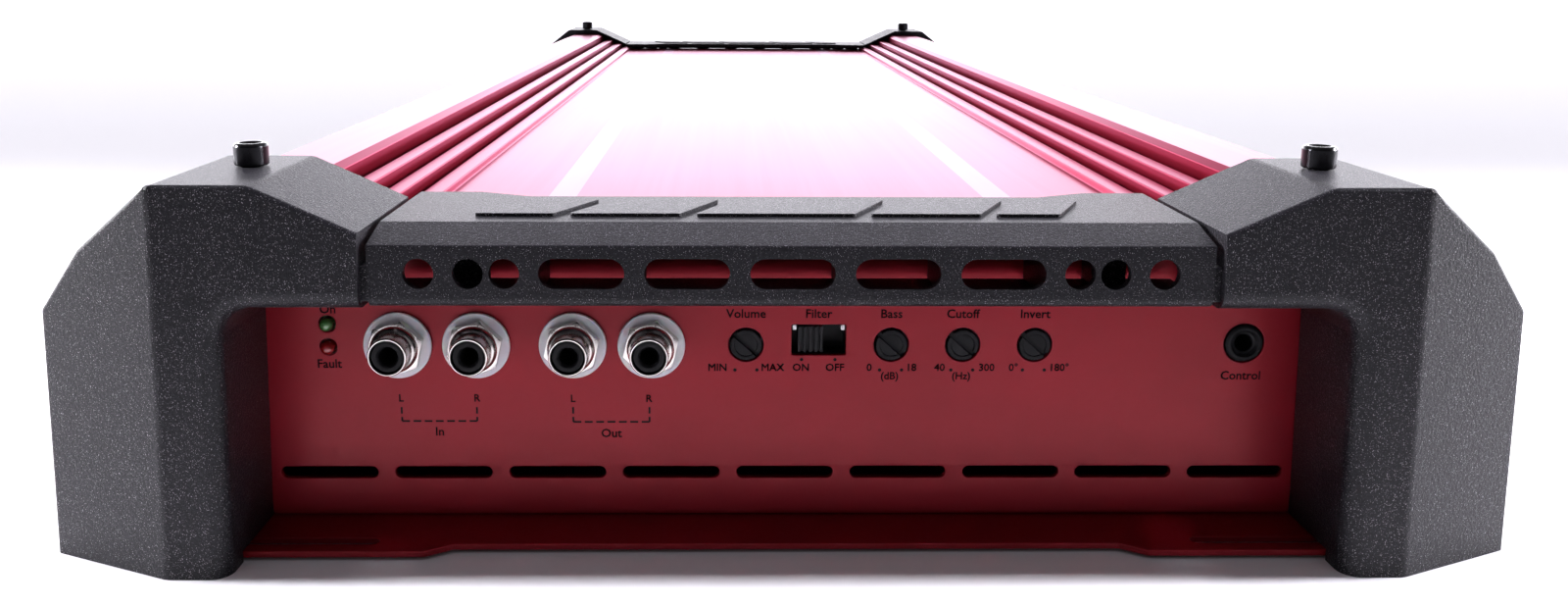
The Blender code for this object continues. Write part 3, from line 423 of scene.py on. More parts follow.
def outline_mesh(outlines, thickness, edge=0.0, edge_steps=2):
    """A flat plate in the XY plane from an outline and its holes, with `edge` of rounding."""
    curve = bpy.data.curves.new("outline", "CURVE")
    curve.dimensions = "2D"
    curve.fill_mode = "BOTH"
    curve.extrude = thickness / 2 - edge
    curve.bevel_depth = edge
    curve.bevel_resolution = edge_steps
    curve.offset = -edge
    for index, points in enumerate(outlines):
        if (signed_area(points) > 0) != (index == 0):
            points = points[::-1]
        spline = curve.splines.new("POLY")
        spline.points.add(len(points) - 1)
        spline.use_cyclic_u = True
        for point, place in zip(spline.points, points):
            point.co = (*place, 0, 1)
    mesh = baked(temporary(curve))
    bpy.data.curves.remove(curve)
    shape = bmesh.new()
    shape.from_mesh(mesh)
    bmesh.ops.remove_doubles(shape, verts=shape.verts, dist=1e-6)
    bmesh.ops.recalc_face_normals(shape, faces=shape.faces)
    shape.to_mesh(mesh)
    shape.free()
    return mesh


def across(outlines, low_y, high_y, **rounding):
    """A prism along Y from outlines in the XZ plane."""
    mesh = outline_mesh(outlines, high_y - low_y, **rounding)
    mesh.transform(QUARTER_X)
    mesh.transform(Matrix.Translation((0, (low_y + high_y) / 2, 0)))
    return mesh


def upright(outlines, low_z, high_z, **rounding):
    """A prism along Z from outlines in the XY plane."""
    mesh = outline_mesh(outlines, high_z - low_z, **rounding)
    mesh.transform(Matrix.Translation((0, 0, (low_z + high_z) / 2)))
    return mesh


def mesh_of(shape, name):
    mesh = bpy.data.meshes.new(name)
    shape.to_mesh(mesh)
    shape.free()
    return mesh


def box_mesh(low, high):
    size = Vector(high) - Vector(low)
    shape = bmesh.new()
    bmesh.ops.create_cube(shape, size=1)
    bmesh.ops.scale(shape, vec=size, verts=shape.verts)
    bmesh.ops.translate(shape, vec=(Vector(high) + Vector(low)) / 2, verts=shape.verts)
    return mesh_of(shape, "box")


def turned(profile, steps=64):
    """A turned mesh round the Y axis; the profile holds (radius, y)."""
    shape = bmesh.new()
    line = [shape.verts.new((radius, y, 0)) for radius, y in profile]
    edges = [shape.edges.new(pair) for pair in zip(line, line[1:])]
    spin = {"cent": (0, 0, 0), "axis": (0, 1, 0), "angle": math.tau, "steps": steps}
    bmesh.ops.spin(shape, geom=line + edges, use_merge=True, **spin)
    bmesh.ops.remove_doubles(shape, verts=shape.verts, dist=1e-7)
    bmesh.ops.recalc_face_normals(shape, faces=shape.faces)
    return mesh_of(shape, "turned")


def rounded_profile(points, radius, steps=3, closed=False):
    """A turning profile with its corners rounded; its two ends stay put unless it is closed."""
    if closed:
        found = filleted(points, radius, steps)
        return found + found[:1]
    inner = filleted(points, radius, steps)[steps + 1 : -(steps + 1)]
    return [points[0]] + inner + [points[-1]]


def copied(mesh, matrix):
    """A copy whose faces stay right way out when the matrix mirrors it."""
    made = mesh.copy()
    made.transform(matrix)
    if matrix.is_negative:
        made.flip_normals()
    return made


def shifted(mesh, place):
    return copied(mesh, Matrix.Translation(place))


def at_panel(mesh, side, end):
    """A copy of a rear right moulding, turned to another side and end of the case."""
    place = Matrix.Translation((0, end * PANEL_Y, 0))
    return shaded(copied(mesh, place @ Matrix.Diagonal((side, end, 1, 1))), 40)


def merged(*meshes):
    """One mesh that holds all of these, each keeping its own faces and material numbers."""
    shape = bmesh.new()
    for mesh in meshes:
        shape.from_mesh(mesh)
    return mesh_of(shape, "merged")


def carved(mesh, cutters, operation="DIFFERENCE"):
    """The mesh after an exact Boolean with each of the others."""
    obj = temporary(mesh)
    helpers = []
    for cutter in cutters:
        helper = temporary(cutter)
        modifier = obj.modifiers.new(operation, "BOOLEAN")
        modifier.operation = operation
        modifier.solver = "EXACT"
        modifier.object = helper
        helpers.append(helper)
    return baked(obj, *helpers)


def modified(mesh, kind, **settings):
    """The mesh after one modifier."""
    obj = temporary(mesh)
    modifier = obj.modifiers.new(kind, kind)
    for key, value in settings.items():
        setattr(modifier, key, value)
    return baked(obj)


def bevelled(mesh, width, steps=2, degrees=40):
    """The mesh with its sharp edges rounded."""
    settings = {"width": width, "segments": steps, "angle_limit": math.radians(degrees)}
    return modified(mesh, "BEVEL", limit_method="ANGLE", use_clamp_overlap=True, **settings)


def shaded(mesh, degrees=35):
    """Smooth shading that keeps sharp edges and flat faces crisp."""
    mesh.shade_smooth()
    mesh.set_sharp_from_angle(angle=math.radians(degrees))
    return modified(mesh, "WEIGHTED_NORMAL", keep_sharp=True, weight=80)


def piece(name, mesh, finishes, slot_name, replaces=(), body="chassis"):
    """A visible piece that rides on a body and wears the given finishes."""
    obj = linked(name, mesh)
    mesh.name = name
    mesh.materials.clear()
    for finish in finishes:
        mesh.materials.append(finish)
    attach(obj, body)
    if replaces:
        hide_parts(*replaces)
    return obj


# ---- heatsink ----

FINS_MM = ((80.6, 85.4, 87, 69.2), (87, 91.4, 93, 71.4), (93.2, 97.5, 100.3, 73.8))
GROOVE_Z = 62.5 * MM
SHOULDER_Z = 77.7 * MM
SHOULDER_IN_X, SHOULDER_OUT_X = 100.3 * MM, 119 * MM
SINK_SLOPE_X, SINK_SLOPE_Z = 136.8 * MM, 63.4 * MM
SINK_SIDE_X, SINK_SIDE_Z = 146.6 * MM, 50.4 * MM
SINK_WALL = 3 * MM
PARTITION_X = 112.5 * MM
CEILING_Z, CEILING_LOW_Z = 62 * MM, 57 * MM
SINK_DEPTH = 2.2 * MM
TONGUE_DEPTH = -8 * MM
TONGUE_X, TONGUE_Z = 103 * MM, 62.4 * MM


def sink_hull(grow=0.0):
    return [
        (SHOULDER_OUT_X + grow / 2, SHOULDER_Z + grow),
        (SINK_SLOPE_X + grow, SINK_SLOPE_Z + grow / 2), (SINK_SIDE_X + grow, SINK_SIDE_Z),
    ]


def sink_outline():
    floor = PLATE_Z + PLATE_T + GAP
    wall = SINK_WALL
    top = [(0, FLAT_Z), (FLAT_X, FLAT_Z)]
    for inner, outer, far, height in FINS_MM:
        top += [(inner * MM, height * MM), (outer * MM, height * MM)]
        top += [(outer * MM, GROOVE_Z), (far * MM, GROOVE_Z)]
    top += [(SHOULDER_IN_X, SHOULDER_Z - 1.2 * MM), (SHOULDER_IN_X + 2 * MM, SHOULDER_Z)]
    outside = [(SINK_SIDE_X, floor), (SINK_SIDE_X - wall, floor)]
    channel = [
        (SINK_SIDE_X - wall, SINK_SIDE_Z - wall / 2),
        (SINK_SLOPE_X - wall, SINK_SLOPE_Z - wall / 2),
        (SHOULDER_OUT_X - wall / 2, SHOULDER_Z - 2 * wall),
        (PARTITION_X + wall, SHOULDER_Z - 2 * wall), (PARTITION_X + wall, floor),
    ]
    inside = [
        (PARTITION_X, floor), (PARTITION_X, CEILING_LOW_Z), (FLAT_X - wall, CEILING_LOW_Z),
        (FLAT_X - 2 * wall, CEILING_Z), (0, CEILING_Z),
    ]
    return mirrored((top + sink_hull() + outside + channel + inside)[1:-1])


def screw_holes(low_z, high_z):
    holes = [
        circle((side * SCREW_X, at_end(end, SCREW_DEPTH)), 4.8 * MM, 32)
        for side in (LEFT, RIGHT)
        for end in (FRONT, REAR)
    ]
    return merged(*(upright([hole], low_z, high_z) for hole in holes))


def add_heatsink():
    """The finned extrusion, its long edges rounded, milled back at both ends."""
    reach = PANEL_Y - TONGUE_DEPTH
    near = PANEL_Y - SINK_DEPTH
    body = across([filleted(sink_outline(), 0.45 * MM, 3)], -reach, reach)
    milled = [
        (TONGUE_X, TOP_Z), (TONGUE_X, TONGUE_Z), (SHOULDER_OUT_X, TONGUE_Z),
        (SHOULDER_OUT_X, TOP_Z), (SIDE_X, TOP_Z), (SIDE_X, -MM),
    ]
    cuts = [screw_holes(TONGUE_Z - MM, TOP_Z)]
    for end in (FRONT, REAR):
        low, high = sorted((end * near, end * (reach + MM)))
        cuts.append(across([mirrored(milled)], low, high))
    mesh = shaded(carved(body, cuts), 50)
    piece("heatsink_extrusion", mesh, [ANODISED], "red_anodised", ["heatsink"])


# ---- corner blocks ----


def block_outline():
    corner = arc((LEG_X - ARCH_RADIUS, ARCH_Z - ARCH_RADIUS), ARCH_RADIUS, 90, 0, 12)
    return corner + [
        (LEG_X, 0), (SIDE_X, 0), (SIDE_X, SIDE_Z), (SLOPE_X, SLOPE_Z), (TOP_OUT_X, TOP_Z),
        (TOP_IN_X, TOP_Z), (SEAM_X, SEAM_Z), (SEAM_X, ARCH_Z),
    ]


def bevel_edges(shape, chosen, width, segments):
    bmesh.ops.bevel(
        shape,
        geom=[edge for edge in chosen if edge.is_valid],
        offset=width,
        segments=segments,
        profile=0.5,
        affect="EDGES",
        clamp_overlap=False,
    )


def is_corner(edge):
    return len(edge.link_faces) == 2 and edge.calc_face_angle(0) > math.radians(15)


def block_body():
    """The rear right block's outer form, its face at y = CAP_FRONT and the panel at y = 0."""
    mesh = across([block_outline()], -CAP_BACK, CAP_FRONT)
    shape = bmesh.new()
    shape.from_mesh(mesh)
    run = Vector((SIDE_X - TOP_OUT_X, -CHAMFER_DEPTH, 0))
    cut = bmesh.ops.bisect_plane(
        shape,
        geom=shape.verts[:] + shape.edges[:] + shape.faces[:],
        plane_co=(TOP_OUT_X, CAP_FRONT, 0),
        plane_no=Vector((-run.y, run.x, 0)).normalized(),
        clear_outer=True,
    )
    rim = [edge for edge in cut["geom_cut"] if isinstance(edge, bmesh.types.BMEdge)]
    bmesh.ops.holes_fill(shape, edges=rim)
    bmesh.ops.recalc_face_normals(shape, faces=shape.faces)
    bmesh.ops.dissolve_limit(shape, angle_limit=1e-3, verts=shape.verts, edges=shape.edges)
    near = 1e-5

    def every(edge, test):
        return all(test(vert.co) for vert in edge.verts)

    def in_arch(p):
        return p.x < LEG_X + near and p.z < ARCH_Z + near

    def plain(edge):
        cut_off = every(edge, lambda p: p.y < near - CAP_BACK)
        cut_off = cut_off or every(edge, lambda p: p.x < SEAM_X + near)
        return is_corner(edge) and not (cut_off or every(edge, lambda p: p.z < near))

    arch = [
        edge
        for edge in shape.edges
        if plain(edge) and every(edge, in_arch) and every(edge, lambda p: p.y > CAP_FRONT - near)
    ]
    bevel_edges(shape, arch, ROUND_OVER, 8)
    outer = [edge for edge in shape.edges if plain(edge) and not every(edge, arch_side)]
    bevel_edges(shape, outer, EDGE_ROUND, 3)
    for vert in shape.verts:
        vert.co.x += DRAFT * (1 - vert.co.z / TOP_Z)
        vert.co.y = min(vert.co.y, CAP_FRONT)
    shape.to_mesh(mesh)
    shape.free()
    return mesh


def arch_side(place):
    """Whether a point lies on the arch's wall or on its rounded edge."""
    reach = ROUND_OVER + 0.1 * MM
    return place.x < LEG_X + reach and place.z < ARCH_Z + reach


TONGUE = (7 * MM, 8 * MM, 7 * MM)
EAR_EDGE = -18 * MM
EAR_X = (70.7 * MM, 75.9 * MM, 120 * MM)


def block_pockets():
    """What the heatsink, the panel, the plate and the bridge's tongue take from a block."""
    clear = 0.5 * MM
    roof = [
        (SEAM_X - MM, SEAM_Z - 1.4 * MM), (SHOULDER_IN_X + MM, SHOULDER_Z + clear),
        (SHOULDER_OUT_X, SHOULDER_Z + clear),
    ]
    foot = [(SINK_SIDE_X + clear, -MM), (SEAM_X - MM, -MM)]
    yield across([roof + sink_hull(clear)[1:] + foot], -CAP_BACK - MM, GAP - SINK_DEPTH)
    yield box_mesh(
        (TONGUE_X - clear, -SINK_DEPTH, TONGUE_Z - clear),
        (SHOULDER_OUT_X + 2 * MM, clear - TONGUE_DEPTH, SHOULDER_Z + clear),
    )
    yield box_mesh((SEAM_X - MM, -SINK_DEPTH, -MM), (PANEL_X + GAP, GAP, PANEL_TOP_Z + GAP))
    yield box_mesh(
        (LEG_X - MM, -CAP_BACK - MM, -MM),
        (EAR_X[2] + GAP, GAP - EAR_EDGE, PLATE_Z + PLATE_T + GAP),
    )
    width, depth, height = TONGUE
    middle_y, middle_z = tongue_centre()
    yield box_mesh(
        (SEAM_X - MM, middle_y - depth / 2 - GAP, middle_z - height / 2 - GAP),
        (SEAM_X + width, middle_y + depth / 2 + GAP, middle_z + height / 2 + GAP),
    )


def add_corner_blocks():
    """Four moulded blocks, each standing on its own leg."""
    body = carved(block_body(), list(block_pockets()))
    hole = upright([circle((SCREW_X, -SCREW_DEPTH), 4.8 * MM, 32)], SHOULDER_Z, TOP_Z + MM)
    body = shaded(carved(body, [hole]), 40)
    for end_name, end in ENDS.items():
        for side_name, side in SIDES.items():
            mesh = at_panel(body, side, end)
            name = f"{end_name}_{side_name}"
            piece(f"block_{name}", mesh, [MOULDING], "charcoal_moulding", [f"corner_block_{name}"])


# ---- bridges ----

BRIDGE_X = 82.6 * MM
BRIDGE_FACE = -25 * MM
BRIDGE_BEVEL, BRIDGE_BEVEL_Z = -14 * MM, 68.9 * MM
BRIDGE_Z = 71.5 * MM
BRIDGE_LOW_Z = 56.5 * MM
BRIDGE_WALL = 2 * MM
BRIDGE_BACK, BRIDGE_BACK_END = 15.4 * MM, 21.6 * MM
BRIDGE_STEP_X = (57 * MM, 70 * MM)
VENT_Z = 63.3 * MM
VENT_D = 6 * MM
VENT_ROUND_X = (56.2 * MM, 63.2 * MM, 72.8 * MM)
VENT_SLOT = 16.7 * MM
VENT_PITCH = 20.6 * MM
RELIEF_Z = 0.7 * MM
RIB_HALF, RIB_START = 0.8 * MM, 0.8 * MM
BOSS_X, BOSS_HALF, BOSS_REACH = 66.9 * MM, 3.6 * MM, 8 * MM
SHELF_START, SHELF_T = 2.2 * MM, 0.3 * MM


def tongue_centre():
    """(y, z) of the bridge's tongues, outwards from the panel."""
    wall = -BRIDGE_FACE - BRIDGE_WALL
    return (wall + MM - TONGUE[1] / 2, BRIDGE_LOW_Z + TONGUE[2] / 2 + MM)


def bridge_section():
    """The shell's section as (y outwards, z): a face wall and a top wall, open below and behind."""
    face = -BRIDGE_FACE
    corner = arc((face - ROUND_OVER / 2, BRIDGE_LOW_Z + ROUND_OVER / 2), ROUND_OVER / 2, -90, 0, 8)
    inner_face = face - BRIDGE_WALL
    inner_top = BRIDGE_Z - BRIDGE_WALL
    sharp = [
        (face, BRIDGE_BEVEL_Z), (-BRIDGE_BEVEL, BRIDGE_Z), (-BRIDGE_BACK_END, BRIDGE_Z),
        (-BRIDGE_BACK_END, inner_top), (inner_face - 3 * MM, inner_top),
        (inner_face, BRIDGE_BEVEL_Z - BRIDGE_WALL), (inner_face, BRIDGE_LOW_Z),
    ]
    return filleted(corner + sharp, 0.5 * MM, 3)


def relief_outlines():
    """A plain row of slanted bars, drawn from above."""
    lean, low, high = 4, 8.6, -8.2
    bars = ((-61, -44.5), (-41.5, -18.5), (-15.5, 17.5), (20.5, 43.5), (46.5, 60))
    for left, right in bars:
        front = [(left - lean, low), (right - lean, low)]
        back = [(right + lean, high), (left + lean, high)]
        yield filleted(in_mm(*front, *back), 0.8 * MM, 4)


def add_bridges():
    """Moulded bars between the blocks, whose vents show the panel behind them."""
    section = outline_mesh([bridge_section()], 2 * BRIDGE_X)
    section.transform(Matrix.Rotation(math.radians(90), 4, "Z") @ QUARTER_X)
    face = -BRIDGE_FACE
    vents = [slot((VENT_PITCH * i, VENT_Z), VENT_SLOT, VENT_D) for i in range(-2, 3)]
    vents += [circle((s * x, VENT_Z), VENT_D, 36) for s in (LEFT, RIGHT) for x in VENT_ROUND_X]
    near, far = BRIDGE_STEP_X
    end = -BRIDGE_BACK_END
    step = [(near, -BRIDGE_BACK), (far, end - 0.1 * MM), (far, end - MM)]
    cuts = [across([vent], face - 2 * BRIDGE_WALL, face + MM) for vent in vents]
    cuts = [merged(*cuts), upright([mirrored(step)], BRIDGE_LOW_Z, TOP_Z)]
    shell = bevelled(carved(section, cuts), 0.25 * MM, 2, 50)
    middle_y, middle_z = tongue_centre()
    reach = SEAM_X + TONGUE[0] - 2 * GAP
    tongues = []
    for side in (LEFT, RIGHT):
        inner, outer = sorted((side * (BRIDGE_X - 4 * MM), side * reach))
        low = (inner, middle_y - TONGUE[1] / 2, middle_z - TONGUE[2] / 2)
        high = (outer, middle_y + TONGUE[1] / 2, middle_z + TONGUE[2] / 2)
        tongues.append(bevelled(box_mesh(low, high), 0.3 * MM))
    bars = [
        upright([outline], BRIDGE_Z - 0.5 * MM, BRIDGE_Z + RELIEF_Z, edge=0.15 * MM, edge_steps=1)
        for outline in relief_outlines()
    ]
    inner_face = face - BRIDGE_WALL + 0.1 * MM
    floor_z, roof_z = BRIDGE_LOW_Z + 0.2 * MM, BRIDGE_BEVEL_Z - BRIDGE_WALL - 0.1 * MM
    ribs = [(VENT_PITCH * (i + 0.5), RIB_HALF, inner_face) for i in range(-3, 3)]
    ribs += [(side * BOSS_X, BOSS_HALF, BOSS_REACH) for side in (LEFT, RIGHT)]
    walls = [
        box_mesh((x - half, RIB_START, floor_z), (x + half, reach, roof_z))
        for x, half, reach in ribs
    ]
    # The shelf is a thin dark sheet added to shade the panel seen through the vents; it shows as a
    # black strip at the foot of each vent.
    shelf_x = BRIDGE_X - 0.5 * MM
    shelf_top = floor_z + SHELF_T
    walls.append(box_mesh((-shelf_x, SHELF_START, floor_z), (shelf_x, inner_face, shelf_top)))
    whole = merged(shell, *tongues, *bars, *walls)
    for end_name, end in ENDS.items():
        name = f"{end_name}_bridge"
        mesh = at_panel(whole, RIGHT, end)
        piece(f"{name}_moulding", mesh, [MOULDING], "charcoal_moulding", [name])


# ---- sheet metal ----

PANEL_SLOT = (21.3 * MM, 2.7 * MM)
PANEL_PITCH = 25.1 * MM
PANEL_SLOT_Z = 12.3 * MM
PLATE_EDGE = -14.6 * MM
PLATE_X = 145.5 * MM
EAR_SLOT_X = (86.5 * MM, 118 * MM)
EAR_SLOT_DEPTH = -13 * MM
EAR_SLOT_W = 3 * MM


def add_bottom_plate():
    """The base sheet, its slotted ears and the studs under the main board."""
    edge = PANEL_Y - PLATE_EDGE
    ear = PANEL_Y - EAR_EDGE
    shelf = PANEL_Y - SINK_DEPTH - GAP
    quarter = [
        (EAR_X[0], edge),
        (EAR_X[1], ear),
        (EAR_X[2], ear),
        (EAR_X[2], shelf - PLATE_T),
        (PLATE_X, shelf),
    ]
    half = quarter + [(x, -y) for x, y in reversed(quarter)]
    middle = sum(EAR_SLOT_X) / 2
    length = EAR_SLOT_X[1] - EAR_SLOT_X[0]
    slots = [
        slot((side * middle, at_end(end, EAR_SLOT_DEPTH)), length, EAR_SLOT_W)
        for end in (FRONT, REAR)
        for side in (LEFT, RIGHT)
    ]
    rim = filleted(mirrored(half), 1.2 * MM, 5)
    sheet = upright([rim, *slots], PLATE_Z, PLATE_Z + PLATE_T, edge=0.2 * MM)
    # The ear slots' walls take the second, pale finish: bare metal, and painted light for the
    # bright line in each slot.
    for face in sheet.polygons:
        x, y, _ = face.center
        level = abs(face.normal.z) < 0.5
        beside = abs(abs(x) - middle) < length / 2 + 0.1 * MM
        within = abs(abs(y) - PANEL_Y + EAR_SLOT_DEPTH) < EAR_SLOT_W / 2 + 0.1 * MM
        face.material_index = int(level and beside and within)
    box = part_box("main_board")
    stud = turned(rounded_profile(in_mm((0, 0), (3, 0), (3, -9.5), (0, -9.5)), 0.4 * MM), 24)
    stud.transform(Matrix.Rotation(math.radians(-90), 4, "X"))
    studs = []
    for x in (box[0].x + 8 * MM, box[1].x - 8 * MM):
        for y in (box[0].y + 10 * MM, 0, box[1].y - 10 * MM):
            studs.append(shifted(stud, (x, y, PLATE_Z + PLATE_T / 2)))
    mesh = shaded(merged(sheet, *studs), 40)
    piece("base_sheet", mesh, [SHEET, BARE_EDGE_AND_PAINTED_LIGHT], "red_sheet", ["bottom_plate"])


RCA_X = {
    "input_left": -83.9 * MM,
    "input_right": -67 * MM,
    "output_left": -46.2 * MM,
    "output_right": -29.2 * MM,
}
KNOB_X = {"level": -8.7 * MM, "bass_boost": 22.9 * MM, "low_pass": 38.5 * MM, "phase": 54.2 * MM}
SWITCH_X, SWITCH_Z = 7.1 * MM, 42.7 * MM
SWITCH_HOLE = (11.8 * MM, 6.8 * MM)
SLIDER_X = 5.3 * MM
LED_X = -99 * MM
LED_Z = {"power": 46.2 * MM, "protection": 41 * MM}
REMOTE_X, REMOTE_Z = 100.1 * MM, 42 * MM
REMOTE_D = 8.2 * MM


def panel_plate(end, holes):
    """A panel sheet with its vent slots and other holes, their edges rounded."""
    floor = PLATE_Z + PLATE_T + GAP
    sheet = rounded_box((-PANEL_X, floor), (PANEL_X, PANEL_TOP_Z), 0.8 * MM)
    vents = [slot((i * PANEL_PITCH, PANEL_SLOT_Z), *PANEL_SLOT) for i in range(-4, 5)]
    low, high = sorted((end * PANEL_Y, end * (PANEL_Y - PANEL_T)))
    return shaded(across([sheet] + vents + holes, low, high, edge=0.22 * MM), 40)


def add_panels():
    holes = [circle((x, ROW_Z), 9.2 * MM) for x in RCA_X.values()]
    holes += [circle((x, ROW_Z), 7.6 * MM) for x in KNOB_X.values()]
    holes += [circle((LED_X, z), 3.7 * MM, 32) for z in LED_Z.values()]
    holes.append(circle((REMOTE_X, REMOTE_Z), REMOTE_D + 2 * GAP))
    half = Vector(SWITCH_HOLE) / 2
    centre = Vector((SWITCH_X, SWITCH_Z))
    holes.append(rounded_box(centre - half, centre + half, 0.35 * MM))
    piece("front_sheet", panel_plate(FRONT, holes), [SHEET], "red_sheet", ["front_panel"])
    holes = []
    for name in ("power", "speaker"):
        low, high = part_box(f"{name}_terminal_block")
        corner, other = (low.x - GAP, low.z - GAP), (high.x + GAP, high.z + GAP)
        holes.append(rounded_box(corner, other, 0.5 * MM))
    piece("rear_sheet", panel_plate(REAR, holes), [SHEET], "red_sheet", ["rear_panel"])


# ---- fasteners ----


def add_corner_screws():
    """Socket-head cap screws in black nickel."""
    shank = in_mm((0, -15), (1.6, -15), (2, -14.4), (2, 0.3))
    head = in_mm((3.25, 0.3), (3.5, 0.6), (3.5, 4.25), (3.28, 4.75))
    crown = in_mm((2.7, 5), (2.35, 5), (2.1, 4.75), (0, 4.75))
    mesh = turned(rounded_profile(shank + head + crown, 0.2 * MM))
    mesh.transform(QUARTER_X)
    socket = upright([circle((0, 0), 3.6 * MM, 6)], 2.4 * MM, 6 * MM)
    mesh = carved(mesh, [socket])
    for end_name, end in ENDS.items():
        for side_name, side in SIDES.items():
            place = (side * SCREW_X, at_end(end, SCREW_DEPTH), TOP_Z)
            name = f"{end_name}_{side_name}"
            screw = shaded(shifted(mesh, place), 32)
            replaced = [f"corner_screw_{name}"]
            piece(f"cap_screw_{name}", screw, [BLACK_NICKEL], "black_nickel", replaced)


# ---- jacks and lamps ----


def hex_nut(diameter, bore, low, high):
    """A hexagon nut along Y whose outer corners are chamfered."""
    prism = across([circle((0, 0), diameter, 6, 17), circle((0, 0), bore, 48)], low, high)
    radius = diameter / 2
    slope = 0.55 * MM
    cone = turned(
        [
            (0, low - MM), (radius - 0.9 * MM, low - 0.01 * MM), (radius + 0.1 * MM, low + slope),
            (radius + 0.1 * MM, high + 0.5 * MM), (0, high + MM),
        ]
    )
    return carved(prism, [cone], "INTERSECT")


def add_rca_jacks():
    """Phono jacks: plated shell, collar and nut, black insulator, off-white washer."""
    collar = in_mm((4.15, -1.4), (5.1, -1.4), (5.1, -4.2), (4.95, -4.7), (4.55, -5.15))
    barrel = in_mm((4.15, -5.35), (4.15, -9.55), (3.97, -9.8), (3.7, -9.8), (3.65, -9.6))
    shell = in_mm((3.65, 13.7), (4.15, 13.7)) + collar + barrel
    shell = turned(rounded_profile(shell, 0.12 * MM, 2, closed=True))
    shell = shaded(merged(shell, hex_nut(12.4 * MM, 8 * MM, -3.8 * MM, -1.5 * MM)), 30)
    outside = in_mm((0, 13.4), (3.35, 13.4), (3.35, -9.3), (2.35, -9.3))
    inside = in_mm((1.95, -8.7), (1.95, 1), (0, 1))
    insulator = shaded(turned(rounded_profile(outside + inside, 0.2 * MM)), 35)
    washer = in_mm((4.45, -0.2), (7.3, -0.2), (7.3, -1.2), (4.45, -1.2))
    washer = shaded(turned(rounded_profile(washer, 0.3 * MM, 4, closed=True), 96), 40)
    parts = (
        ("shell", shell, NICKEL, "nickel_plate"), ("insulator", insulator, BLACK, "black_plastic"),
        ("washer", washer, WASHER, "white_washer"),
    )
    for name, x in RCA_X.items():
        for part, mesh, finish, slot_name in parts:
            placed = shifted(mesh, (x, -PANEL_Y, ROW_Z))
            piece(f"jack_{part}_{name}", placed, [finish], slot_name, [f"rca_{part}_{name}"])


def add_lamps():
    """Two unlit lamps, a small domed lens each."""
    radius = 1.5 * MM
    dome = [
        (radius * math.cos(math.radians(a)), -0.6 * MM - radius * math.sin(math.radians(a)))
        for a in range(0, 90, 10)
    ]
    profile = [(0, 8 * MM), (1.8 * MM, 8 * MM), (1.8 * MM, 2.2 * MM), (radius, 2.2 * MM)]
    profile += dome + [(0, -0.6 * MM - radius)]
    mesh = shaded(turned(profile, 40), 40)
    for (name, z), finish in zip(LED_Z.items(), (GREEN, RED)):
        slot_name = "green_lens" if name == "power" else "red_lens"
        lens = shifted(mesh, (LED_X, -PANEL_Y, z))
        piece(f"{name}_lens", lens, [finish], slot_name, [f"{name}_led"])


def add_remote_socket():
    outside = in_mm((0, 13.7), (4.1, 13.7), (4.1, -0.2), (3.65, -0.6), (3.05, -0.6))
    bore = in_mm((2.5, 0.25), (1.95, 0.4), (1.9, 9), (0, 9))
    mesh = shaded(turned(rounded_profile(outside + bore, 0.2 * MM)), 40)
    mesh = shifted(mesh, (REMOTE_X, -PANEL_Y, REMOTE_Z))
    piece("remote_socket_housing", mesh, [BLACK], "black_plastic", ["remote_socket"])


# ---- trimmers and switch ----


TRIMMER_SLOT_ANGLE = 42


def add_trimmers():
    """Knurled screwdriver trimmers with a slot across the face."""
    teeth, radius = 30, 3.45 * MM
    rim = []
    for i in range(teeth * 4):
        angle = math.tau * i / (teeth * 4)
        rim.append((radius - 0.16 * MM * (1 - math.cos(teeth * angle)) / 2, angle))
    rim = [(r * math.cos(angle), r * math.sin(angle)) for r, angle in rim]
    inner = [(0.74 * x, 0.74 * z) for x, z in rim]
    ring = across([rim, circle((0, 0), 5.0 * MM)], -0.4 * MM, 4 * MM, edge=0.12 * MM)
    core = across([inner], -0.15 * MM, 3.9 * MM, edge=0.1 * MM)
    shaft = turned(in_mm((0, 3.5), (2, 3.5), (2, 10), (0, 10)), 32)
    cut = box_mesh(*in_mm((-5, -1, -0.5), (5, 1.1, 0.5)))
    cut.transform(Matrix.Rotation(math.radians(TRIMMER_SLOT_ANGLE), 4, "Y"))
    face = bevelled(carved(merged(ring), [cut]), 0.06 * MM, 1, 60)
    core = bevelled(carved(core, [cut.copy()]), 0.08 * MM, 1, 60)
    mesh = shaded(merged(face, core, shaft), 35)
    for name, x in KNOB_X.items():
        knob = shifted(mesh, (x, -PANEL_Y, ROW_Z))
        names = ([f"{name}_knob"], f"{name}_trimmer")
        piece(f"{name}_trimmer_shaft", knob, [BLACK], "black_plastic", *names)


